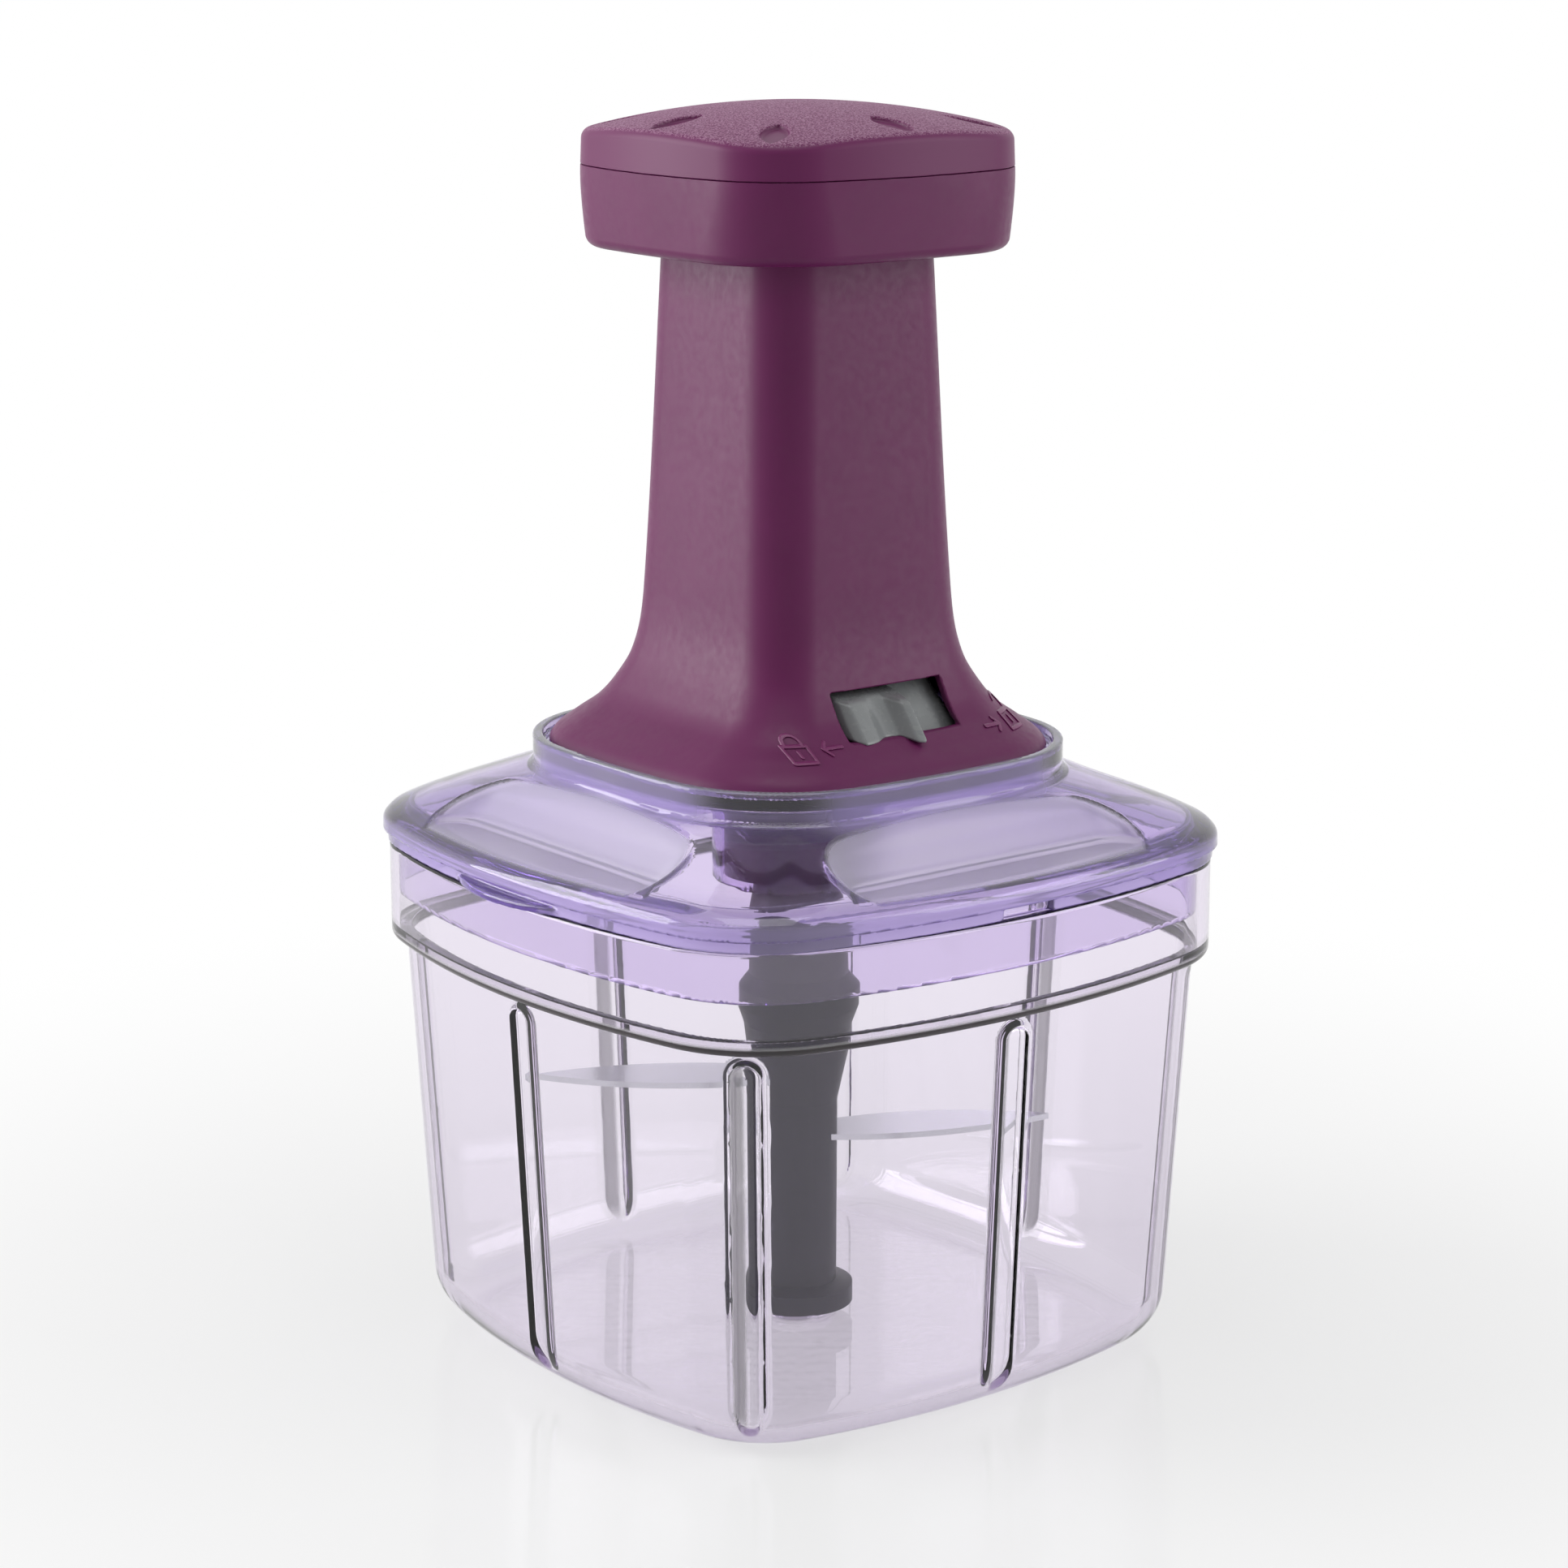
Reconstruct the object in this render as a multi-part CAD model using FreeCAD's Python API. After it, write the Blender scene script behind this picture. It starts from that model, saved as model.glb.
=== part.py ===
import FreeCAD, Part
import math
import os

from FreeCAD import Rotation, Vector

# Plunger food chopper, stored with its plunger pressed down and locked.
# Millimetres, +Z up, origin at the middle of the bowl's flat bottom.
# The lock slider is on the -Y side, the lid's thumb tab on the -X side.

# Running gaps and small allowances
FIT_GAP = 0.3
SEAT_GAP = 0.2
SHAFT_GAP = 0.05
CUT_OVER = 1.0

# Bowl
BOWL_FOOT_HALF = 63.2
BOWL_TOP_HALF = 67.5
BOWL_SIDE_R = 180.0
BOWL_CORNER_R = 24.0
BOWL_WALL = 2.4
BOWL_FLOOR = 2.6
BOWL_BOTTOM_FILLET = 11.0
BOWL_STEP_Z = 80.8
BOWL_STEP_FILLET = 1.5
BOWL_RIM_Z = 100.3
BAND_STEP = 2.8
BAND_HALF = BOWL_TOP_HALF + BAND_STEP
BAND_SIDE_R = 188.0
BAND_CORNER_R = 26.5
BAND_WALL = 2.2
BAND_LEDGE = 2.4

# Vertical flutes pressed into the bowl's sides and corners
FLUTE_R = 2.6
FLUTE_PROUD = 0.4
FLUTE_WALL = 2.0
FLUTE_TOP_Z = 78.3
FLUTE_BOTTOM_Z = 6.0

# Pivot pin in the bowl's floor
PIN_R = 3.0
PIN_TOP_Z = 40.0
PIN_BOSS_R = 7.0
PIN_BOSS_TOP_Z = 5.0
PIN_SUNK = 1.6

# Lid
LID_WALL = 2.0
LID_STRIP_INSET = 1.0
LID_STRIP_HEIGHT = 2.4
FLANGE_OVERHANG = 0.6
FLANGE_HALF = BAND_HALF + FLANGE_OVERHANG
FLANGE_SIDE_R = 208.0
FLANGE_CORNER_R = 26.5
NECK_HALF = 46.3
NECK_SIDE_R = 197.0
NECK_CORNER_R = 28.8
NECK_RIM_Z = 122.9
TRAY_Z = 121.2
SKIRT_BOTTOM_Z = 90.2
SKIRT_GAP = 0.4
COLLAR_BOTTOM_Z = 93.0
COLLAR_GAP = 0.5
DOME_RISES = (2.1, 3.8, 5.3, 7.3, 9.8, 12.2, 14.6)
DOME_INSETS = (0.0, 1.0, 3.6, 8.1, 14.1, 19.9, 25.7)
DOME_END_INSET = 1.1

# Scoops in the lid's four sides
SCOOP_FLOOR_Z = 107.5
SCOOP_RISES = (0.0, 1.2, 4.5, 11.0, 17.0)
SCOOP_BEYOND_NECK = (11.5, 9.3, 5.3, 0.3, 0.3)
SCOOP_HALVES = (33.5, 34.8, 36.4, 38.2, 39.0)
SCOOP_CORNERS = (5.0, 6.5, 8.0, 10.0, 11.0)

# Thumb tab on the lid's edge and the vent notch beside it
TAB_HALF_LENGTH = 19.0
TAB_PROUD = 2.4
TAB_THICKNESS = 1.6
NOTCH_WIDTH = 12.0

# Tower
TOWER_WALL = 2.4
TOWER_TOP_Z = 220.2
TOWER_TOP_HALF = 21.8
TOWER_TOP_CORNER_R = 10.6
TOWER_FOOT_GAP = 1.1
TOWER_FOOT_HALF = NECK_HALF - LID_WALL - TOWER_FOOT_GAP
TOWER_FOOT_CORNER_R = NECK_CORNER_R - LID_WALL - TOWER_FOOT_GAP
FLARE_LEVELS = (152.5, 146.0, 139.5, 133.0, 129.7, 126.5, 123.5, TRAY_Z)
FLARE_HALVES = (24.9, 25.5, 26.9, 30.2, 32.9, 37.2, 41.3, TOWER_FOOT_HALF)
FLARE_CORNERS = (11.0, 11.2, 11.6, 12.8, 14.4, 17.8, 22.5, TOWER_FOOT_CORNER_R)
TOWER_SIDE_R = 234.0
TOWER_BOSS_R = 3.4
TOWER_BOSS_PLACE = 25.5
TOWER_BOSS_HEIGHT = 8.0

# Window for the lock slider, in the tower's front flare
WINDOW_HALF_LENGTH = 13.5
WINDOW_BOTTOM_Z = 128.4
WINDOW_TOP_Z = 137.0

# Base plate with its drive boss
BASE_THICKNESS = 3.0
BASE_INSET = 1.9
BASE_HALF = FLARE_HALVES[-2] - TOWER_WALL - BASE_INSET
BASE_CORNER_R = FLARE_CORNERS[-2] - TOWER_WALL - BASE_INSET
BOSS_R = 14.6
BOSS_WALL = 2.2
BOSS_BOTTOM_Z = 94.5
WEB_Z = 107.0
WEB_THICKNESS = 2.4
BUSH_R = 6.6
BUSH_TUBE_WALL = 2.0
BUSH_FLANGE_R = 9.0
BUSH_FLANGE = 1.0

# Screws
SCREW_R = 1.5
SCREW_HEAD_R = 2.8
SCREW_HEAD = 1.4
SCREW_LENGTH = 7.0

# Plunger
STROKE = 60.0
STEM_WALL = 2.0
STEM_BOTTOM_Z = 131.0
STEM_FOOT = 2.5
STEM_FLANGE_HALF = 29.5
STEM_FLANGE = 2.5
NUT_Z = 141.0
NUT_HEIGHT = 6.0
NUT_PIN_R = 1.25
NUT_PIN_REACH = 12.0

# Drive screw
DRIVE_R = 5.5
DRIVE_LEAD = 30.0
DRIVE_STARTS = 2
DRIVE_GROOVE_R = 1.7
DRIVE_END = 7.0
DRIVE_TOP_Z = NUT_Z + NUT_HEIGHT + STROKE + DRIVE_END
JOURNAL_R = 4.0
THRUST_R = 7.0
THRUST_HEIGHT = 2.0
DOG_FLATS = 8.2
DOG_HEIGHT = 10.5
DOG_GAP = 0.25

# Return spring, shown pressed down
SPRING_R = 13.0
SPRING_WIRE_R = 0.6
SPRING_TURNS = 8
SPRING_SEAT = 0.8
SPRING_SEAT_INNER_R = 10.2
SPRING_SEAT_OUTER_R = 15.4

# Palm cap
CAP_BOTTOM_Z = 218.3
CAP_FLOOR_Z = 220.5
CAP_FLOOR = 2.2
CAP_SEAM_Z = 233.9
CAP_TOP_Z = 245.8
CAP_BOTTOM_HALF = 35.0
CAP_SEAM_HALF = 36.4
CAP_SHOULDER_HALF = 36.0
CAP_BOTTOM_SIDE_R = 226.0
CAP_SEAM_SIDE_R = 103.0
CAP_BOTTOM_CORNER_R = 19.9
CAP_SEAM_CORNER_R = 18.3
CAP_WALL = 2.4
CAP_DOME_R = 160.0
CAP_BOTTOM_FILLET = 2.0
CAP_SHOULDER_FILLET = 0.8
CAP_LIP = 3.0
CAP_SCREW_PLACE = 26.0
LEAF_RADIUS = 33.0
LEAF_DEPTH = 1.0
LEAF_MID_RADIUS = 30.8
LEAF_CORNER_RADIUS = 34.0
LEAF_TUBE_R = 3.5

# Lock slider
SLIDER_TRAVEL = 8.0
SLIDER_THICKNESS = 1.6
SLIDER_TOP_Y = -22.6
SLIDER_TOP_GAP = 0.3
SLIDER_TOP_Z = WINDOW_TOP_Z + SLIDER_TOP_GAP
SLIDER_SLOPE = math.atan2(9.3, 7.5)
SLIDER_OVERLAP = 1.6
SLIDER_TOP_OVERLAP = 0.8
KNOB_LEFT = 0.9 - WINDOW_HALF_LENGTH
KNOB_HEIGHTS = ((0.0, 4.6), (2.2, 6.5), (5.2, 5.6), (8.6, 4.9), (12.0, 7.2), (14.2, 8.0), (15.6, 5.0))
KNOB_MARGIN = 0.5
KNOB_DROOP = 0.08
TONGUE_FROM_KNOB = 5.0
TONGUE_WIDTH = 6.0
TONGUE_Z = 135.2
TONGUE_HEIGHT = 2.4
KEEPER_HALF_LENGTH = 15.0
KEEPER_SCREW_Y = -25.0
KEEPER_THICKNESS = 1.4

# Blade spindle: heights and radii of its outside, from the top down
SPINDLE_TOP_Z = 103.4
SPINDLE_BOTTOM_Z = PIN_BOSS_TOP_Z + SEAT_GAP
SPINDLE_PROFILE = (
    (8.5, SPINDLE_TOP_Z),
    (8.6, 92.0),
    (9.7, 84.5),
    (9.9, 74.5),
    (12.2, 71.8),
    (12.2, 67.6),
    (10.9, 64.0),
    (10.2, 58.5),
    (7.9, 48.0),
    (7.75, 10.0),
    (11.0, 9.0),
    (11.0, SPINDLE_BOTTOM_Z),
)
SOCKET_DEPTH = 12.0
SPINDLE_BUSH_WALL = 1.1

# Blades: height of the flat, heading of the tip in degrees
BLADE_THICKNESS = 1.2
BLADE_REACH = 51.5
BLADE_WIDTH = 11.0
BLADE_ROOT = 5.2
BLADES = (("blade_upper", 52.4, 137.0), ("blade_middle", 40.8, -33.0), ("blade_lower", 11.5, 52.0))


def outline_centre(half, side_r, corner_r):
    """Distance along X and Y of a corner arc's centre, tangent to both side arcs."""
    k = side_r - half
    return (math.sqrt(2 * (side_r - corner_r) ** 2 - k * k) - k) / 2


def corner_reach(half, side_r, corner_r):
    """Distance from the axis to the outline along a diagonal."""
    return outline_centre(half, side_r, corner_r) * math.sqrt(2) + corner_r


def outline(half, side_r, corner_r, z):
    """Closed square outline with bowed sides and round corners, all tangent."""
    c = outline_centre(half, side_r, corner_r)
    k = side_r - half
    turn = math.atan2(c, c + k)
    edges = []
    for quarter in range(4):
        spin = Rotation(Vector(0, 0, 1), 90 * quarter)
        start = Vector(-side_r * math.sin(turn), k - side_r * math.cos(turn), z)
        middle = Vector(0, -half, z)
        end = Vector(-start.x, start.y, z)
        diagonal = c + corner_r / math.sqrt(2)
        corner = Vector(diagonal, -diagonal, z)
        after = Vector(-end.y, -end.x, z)
        points = [spin.multVec(p) for p in (start, middle, end, corner, after)]
        edges.append(Part.Arc(points[0], points[1], points[2]).toShape())
        edges.append(Part.Arc(points[2], points[3], points[4]).toShape())
    return Part.Wire(edges)


def prism(half, side_r, corner_r, z0, z1, half_top=None):
    """Straight or evenly tapered block on the bowed outline."""
    top = half if half_top is None else half_top
    wires = [outline(half, side_r, corner_r, z0), outline(top, side_r, corner_r, z1)]
    return Part.makeLoft(wires, True, True)


def cylinder(radius, z0, z1, x=0.0, y=0.0):
    return Part.makeCylinder(radius, z1 - z0, Vector(x, y, z0))


def tube(outer, inner, z0, z1, x=0.0, y=0.0):
    return cylinder(outer, z0, z1, x, y).cut(cylinder(inner, z0 - CUT_OVER, z1 + CUT_OVER, x, y))


def box(x0, x1, y0, y1, z0, z1):
    return Part.makeBox(x1 - x0, y1 - y0, z1 - z0, Vector(x0, y0, z0))


def turned(shape, degrees):
    copy = shape.copy()
    copy.rotate(Vector(0, 0, 0), Vector(0, 0, 1), degrees)
    return copy


def low_edges(shape, z):
    """Edges that lie flat at height z."""
    found = []
    for edge in shape.Edges:
        bounds = edge.BoundBox
        if abs(bounds.ZMin - z) < 0.01 and abs(bounds.ZMax - z) < 0.01:
            found.append(edge)
    return found


def save(name, *solids):
    """Write one node, as one solid or as a group of separate solids."""
    shape = solids[0] if len(solids) == 1 else Part.makeCompound(list(solids))
    shape.exportStep("parts/" + name + ".step")
    print(name, len(shape.Solids), "solids", round(shape.Volume, 1), "mm3", "valid", shape.isValid())


def bowl_half(z):
    """Outside half width of the bowl's tapered wall at height z."""
    return BOWL_FOOT_HALF + (BOWL_TOP_HALF - BOWL_FOOT_HALF) * z / BOWL_STEP_Z


def bowl_body(offset, floor_z, top_z, fillet):
    body = prism(bowl_half(floor_z) - offset, BOWL_SIDE_R - offset, BOWL_CORNER_R - offset,
                 floor_z, top_z, bowl_half(top_z) - offset)
    return body.makeFillet(fillet, low_edges(body, floor_z))


def make_bowl():
    outer = bowl_body(0.0, 0.0, BOWL_STEP_Z + BAND_WALL, BOWL_BOTTOM_FILLET)
    band = prism(BAND_HALF, BAND_SIDE_R, BAND_CORNER_R, BOWL_STEP_Z, BOWL_RIM_Z)
    band = band.makeFillet(BOWL_STEP_FILLET, low_edges(band, BOWL_STEP_Z))
    outer = outer.fuse(band)
    ledge_z = BOWL_STEP_Z + BAND_LEDGE
    inner = bowl_body(BOWL_WALL, BOWL_FLOOR, ledge_z + CUT_OVER, BOWL_BOTTOM_FILLET - BOWL_WALL)
    band_inner = prism(BAND_HALF - BAND_WALL, BAND_SIDE_R - BAND_WALL, BAND_CORNER_R - BAND_WALL,
                       ledge_z, BOWL_RIM_Z + CUT_OVER)
    ridges = []
    grooves = []
    for number in range(8):
        grooves.append(flute(number, FLUTE_R, FLUTE_BOTTOM_Z - 4 * CUT_OVER))
        ridges.append(flute(number, FLUTE_R + FLUTE_WALL, BOWL_FLOOR + CUT_OVER))
    shell = outer.cut(inner.fuse(band_inner))
    shell = shell.fuse([ridge.common(outer) for ridge in ridges]).cut(grooves)
    shell = shell.fuse(cylinder(PIN_BOSS_R, BOWL_FLOOR - CUT_OVER, PIN_BOSS_TOP_Z))
    return shell.cut(cylinder(PIN_R, BOWL_FLOOR - PIN_SUNK, PIN_BOSS_TOP_Z + CUT_OVER)).removeSplitter()


def flute(number, radius, z0):
    """Round-topped bar along the slanted wall, on a side or on a corner."""
    z1 = FLUTE_TOP_Z - FLUTE_R
    reaches = []
    for z in (z0, z1):
        half = bowl_half(z)
        reach = half if number % 2 == 0 else corner_reach(half, BOWL_SIDE_R, BOWL_CORNER_R)
        reaches.append(reach + FLUTE_PROUD)
    low = Vector(0, -reaches[0], z0)
    high = Vector(0, -reaches[1], z1)
    bar = Part.makeCylinder(radius, (high - low).Length, low, high - low)
    return turned(bar.fuse(Part.makeSphere(radius, high)), 45 * number)


def make_pivot_pin():
    pin = cylinder(PIN_R, BOWL_FLOOR - PIN_SUNK, PIN_TOP_Z)
    return pin.makeChamfer(PIN_R / 4, low_edges(pin, PIN_TOP_Z))


def dome_halves():
    """Half widths of the dome, from the flange in to just inside the neck."""
    reach = FLANGE_HALF - (NECK_HALF - DOME_END_INSET)
    return [FLANGE_HALF - reach * inset / DOME_INSETS[-1] for inset in DOME_INSETS]


def dome(offset, drop):
    """Solid under the lid's dome, from the flange up to the neck's foot."""
    wires = []
    steps = len(DOME_RISES)
    for step, (rise, half) in enumerate(zip(DOME_RISES, dome_halves())):
        share = step / (steps - 1)
        corner = FLANGE_CORNER_R + (NECK_CORNER_R - FLANGE_CORNER_R) * share
        side = FLANGE_SIDE_R + (NECK_SIDE_R - FLANGE_SIDE_R) * share
        wires.append(outline(half - offset, side - offset, corner - offset,
                             flange_z() + rise - drop))
    return Part.makeLoft(wires, True, False)


def flange_z():
    return BOWL_RIM_Z + LID_STRIP_HEIGHT


def scoop(grow):
    """Tub-shaped cutter for the -Y scoop, grown outward for the inside of the wall."""
    wires = []
    far = -(FLANGE_HALF + 10.0)
    for rise, beyond, half, corner in zip(SCOOP_RISES, SCOOP_BEYOND_NECK, SCOOP_HALVES, SCOOP_CORNERS):
        z = SCOOP_FLOOR_Z + rise
        if rise == 0.0:
            z -= grow
        y = -(NECK_HALF + beyond) + grow
        x = half + grow
        r = corner + grow
        lean = r * (1 - math.sqrt(0.5))
        a, b, c = Vector(-x, far, z), Vector(-x, y - r, z), Vector(-x + r, y, z)
        d, e, f = Vector(x - r, y, z), Vector(x, y - r, z), Vector(x, far, z)
        wires.append(Part.Wire([
            Part.LineSegment(a, b).toShape(),
            Part.Arc(b, Vector(-x + lean, y - lean, z), c).toShape(),
            Part.LineSegment(c, d).toShape(),
            Part.Arc(d, Vector(x - lean, y - lean, z), e).toShape(),
            Part.LineSegment(e, f).toShape(),
            Part.LineSegment(f, a).toShape(),
        ]))
    return Part.makeLoft(wires, True, False)


def thumb_tab():
    """Crescent plate on the -X edge of the lid."""
    root = FLANGE_HALF - 3.0
    tip = FLANGE_HALF + TAB_PROUD
    z = BOWL_RIM_Z + 0.1
    low = Vector(-root, -TAB_HALF_LENGTH, z)
    high = Vector(-root, TAB_HALF_LENGTH, z)
    face = Part.Face(Part.Wire([Part.Arc(low, Vector(-tip, 0, z), high).toShape(),
                                Part.LineSegment(high, low).toShape()]))
    return face.extrude(Vector(0, 0, TAB_THICKNESS))


def make_lid():
    strip_half = FLANGE_HALF - LID_STRIP_INSET
    strip = prism(strip_half, FLANGE_SIDE_R - LID_STRIP_INSET, FLANGE_CORNER_R - LID_STRIP_INSET,
                  BOWL_RIM_Z, flange_z())
    edge = prism(FLANGE_HALF, FLANGE_SIDE_R, FLANGE_CORNER_R, flange_z(), flange_z() + DOME_RISES[0])
    skirt_out = BAND_WALL + SKIRT_GAP
    skirt = prism(BAND_HALF - skirt_out, BAND_SIDE_R - skirt_out, BAND_CORNER_R - skirt_out,
                  SKIRT_BOTTOM_Z, BOWL_RIM_Z + CUT_OVER)
    neck_foot = flange_z() + DOME_RISES[-1] - LID_WALL
    neck = prism(NECK_HALF, NECK_SIDE_R, NECK_CORNER_R, neck_foot, NECK_RIM_Z)
    outer = edge.fuse([dome(0.0, 0.0), neck, strip, skirt, thumb_tab()])
    outer = outer.cut([turned(scoop(0.0), 90 * side) for side in range(4)])

    skirt_in = skirt_out + LID_WALL
    hollow = prism(BAND_HALF - skirt_in, BAND_SIDE_R - skirt_in, BAND_CORNER_R - skirt_in,
                   SKIRT_BOTTOM_Z - CUT_OVER, flange_z() + DOME_RISES[0])
    under_dome = dome(LID_WALL, LID_WALL / 2)
    under_dome = under_dome.common(prism(BAND_HALF - skirt_in, BAND_SIDE_R - skirt_in,
                                         BAND_CORNER_R - skirt_in, flange_z(), NECK_RIM_Z))
    neck_hollow = prism(NECK_HALF - LID_WALL, NECK_SIDE_R - LID_WALL, NECK_CORNER_R - LID_WALL,
                        neck_foot - LID_WALL, TRAY_Z - LID_WALL)
    hollow = hollow.fuse([under_dome, neck_hollow])
    hollow = hollow.cut([turned(scoop(LID_WALL), 90 * side) for side in range(4)])
    tray = prism(NECK_HALF - LID_WALL, NECK_SIDE_R - LID_WALL, NECK_CORNER_R - LID_WALL,
                 TRAY_Z, NECK_RIM_Z + CUT_OVER)
    bore_r = BOSS_R + COLLAR_GAP
    collar = cylinder(bore_r + LID_WALL, COLLAR_BOTTOM_Z, TRAY_Z - LID_WALL / 2)
    notch = box(-NOTCH_WIDTH / 2, NOTCH_WIDTH / 2, -FLANGE_HALF - CUT_OVER, -strip_half + LID_WALL,
                BOWL_RIM_Z - CUT_OVER, flange_z())
    notch = notch.cut(skirt)
    lid = outer.cut([hollow, tray]).fuse(collar)
    lid = lid.cut([cylinder(bore_r, COLLAR_BOTTOM_Z - CUT_OVER, NECK_RIM_Z), notch])
    return lid.removeSplitter()


def tower_shaft(offset):
    """Straight tapered part of the tower, above its flare."""
    side = TOWER_SIDE_R - offset
    wires = [outline(TOWER_TOP_HALF - offset, side, TOWER_TOP_CORNER_R - offset, TOWER_TOP_Z),
             outline(FLARE_HALVES[0] - offset, side, FLARE_CORNERS[0] - offset, FLARE_LEVELS[0])]
    return Part.makeLoft(wires, True, True)


def tower_flare(offset):
    """Curved foot of the tower, down to the lid's tray."""
    wires = []
    for z, half, corner in zip(FLARE_LEVELS, FLARE_HALVES, FLARE_CORNERS):
        wires.append(outline(half - offset, TOWER_SIDE_R - offset, corner - offset, z))
    return Part.makeLoft(wires, True, False)


def tower_boss_places():
    return [(x * TOWER_BOSS_PLACE, y * TOWER_BOSS_PLACE) for x in (-1, 1) for y in (-1, 1)]


def make_tower():
    flare = tower_flare(0.0)
    shell = flare.cut(tower_flare(TOWER_WALL))
    base_top = TRAY_Z + BASE_THICKNESS
    for x, y in tower_boss_places():
        boss = cylinder(TOWER_BOSS_R, base_top, base_top + TOWER_BOSS_HEIGHT, x, y)
        shell = shell.fuse(boss.common(flare))
        shell = shell.cut(cylinder(SCREW_R, base_top - CUT_OVER, base_top + SCREW_LENGTH, x, y))
    window = box(-WINDOW_HALF_LENGTH, WINDOW_HALF_LENGTH, -FLARE_HALVES[-1], -stem_foot_half(),
                 WINDOW_BOTTOM_Z, WINDOW_TOP_Z)
    shaft = tower_shaft(0.0).cut(tower_shaft(TOWER_WALL))
    return shell.cut(window).fuse(shaft)


def make_base():
    base_top = TRAY_Z + BASE_THICKNESS
    plate = prism(BASE_HALF, TOWER_SIDE_R, BASE_CORNER_R, TRAY_Z, base_top)
    boss = cylinder(BOSS_R, BOSS_BOTTOM_Z, TRAY_Z + CUT_OVER)
    base = plate.fuse(boss)
    base = base.cut(cylinder(BOSS_R - BOSS_WALL, BOSS_BOTTOM_Z - CUT_OVER, WEB_Z))
    base = base.cut(cylinder(BOSS_R - BOSS_WALL, WEB_Z + WEB_THICKNESS, TRAY_Z))
    base = base.fuse(cylinder(BUSH_R + BUSH_TUBE_WALL, WEB_Z, base_top))
    base = base.cut(cylinder(BUSH_R, WEB_Z - CUT_OVER, base_top + CUT_OVER))
    for x, y in tower_boss_places():
        base = base.cut(cylinder(SCREW_HEAD_R, TRAY_Z - CUT_OVER, TRAY_Z + SCREW_HEAD, x, y))
        base = base.cut(cylinder(SCREW_R, TRAY_Z, base_top + CUT_OVER, x, y))
    for x, y in keeper_screw_places():
        base = base.cut(cylinder(SCREW_R, base_top - BASE_THICKNESS / 2, base_top + CUT_OVER, x, y))
    return base.removeSplitter()


def screw(head_z, x, y, upward):
    """Pan-head screw with a cross recess; its head lies on the named height."""
    sign = 1 if upward else -1
    low, high = sorted((head_z, head_z + sign * SCREW_HEAD))
    head = cylinder(SCREW_HEAD_R, low, high, x, y)
    tip = head_z + sign * (SCREW_HEAD + SCREW_LENGTH - CUT_OVER)
    low, high = sorted((head_z + sign * SCREW_HEAD, tip))
    body = head.fuse(cylinder(SCREW_R, low, high, x, y))
    slot = SCREW_HEAD_R * 0.65
    depth = SCREW_HEAD * 0.5
    low, high = sorted((head_z - sign * CUT_OVER, head_z + sign * depth))
    cross = box(x - slot, x + slot, y - 0.35, y + 0.35, low, high)
    return body.cut([cross, box(x - 0.35, x + 0.35, y - slot, y + slot, low, high)])


def make_bush():
    base_top = TRAY_Z + BASE_THICKNESS
    bush = cylinder(BUSH_R, WEB_Z, base_top).fuse(cylinder(BUSH_FLANGE_R, base_top, base_top + BUSH_FLANGE))
    bore = JOURNAL_R + SHAFT_GAP
    return bush.cut(cylinder(bore, WEB_Z - CUT_OVER, base_top + 2 * BUSH_FLANGE))


def helix_point(radius, lead, phase, z0, z):
    angle = phase + 2 * math.pi * (z - z0) / lead
    return Vector(radius * math.cos(angle), radius * math.sin(angle), z)


def helix_heading(radius, lead, phase, z0, z):
    angle = phase + 2 * math.pi * (z - z0) / lead
    rise = lead / (2 * math.pi)
    heading = Vector(-radius * math.sin(angle), radius * math.cos(angle), rise)
    return heading.normalize()


def arc_through(start, corner, end):
    """Arc from start to end whose end tangents meet at corner."""
    middle = (start + end) * 0.5
    half_chord = (end - start).Length / 2
    rise = corner - middle
    angle = math.atan2(rise.Length, half_chord)
    crown = middle + rise * (half_chord * math.tan(angle / 2) / rise.Length)
    return Part.Arc(start, crown, end).toShape()


def helix_path(radius, lead, phase, z0, z_start, z_end):
    """Helix as tangent pairs of arcs, a quarter turn to each pair."""
    pieces = max(1, math.ceil(abs(z_end - z_start) / (lead / 4)))
    edges = []
    for piece in range(pieces):
        za = z_start + (z_end - z_start) * piece / pieces
        zb = z_start + (z_end - z_start) * (piece + 1) / pieces
        pa = helix_point(radius, lead, phase, z0, za)
        pb = helix_point(radius, lead, phase, z0, zb)
        ta = helix_heading(radius, lead, phase, z0, za)
        tb = helix_heading(radius, lead, phase, z0, zb)
        v = pb - pa
        t = ta + tb
        spread = 2 * (1 - ta.dot(tb))
        reach = (math.sqrt(v.dot(t) ** 2 + spread * v.dot(v)) - v.dot(t)) / spread
        qa = pa + ta * reach
        qb = pb - tb * reach
        joint = (qa + qb) * 0.5
        edges.append(arc_through(pa, qa, joint))
        edges.append(arc_through(joint, qb, pb))
    return Part.Wire(edges)


def wire_along(path, radius, start, heading):
    profile = Part.Wire(Part.makeCircle(radius, start, heading))
    return path.makePipeShell([profile], True, False)


def nut_mid_z():
    return NUT_Z + NUT_HEIGHT / 2


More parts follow.
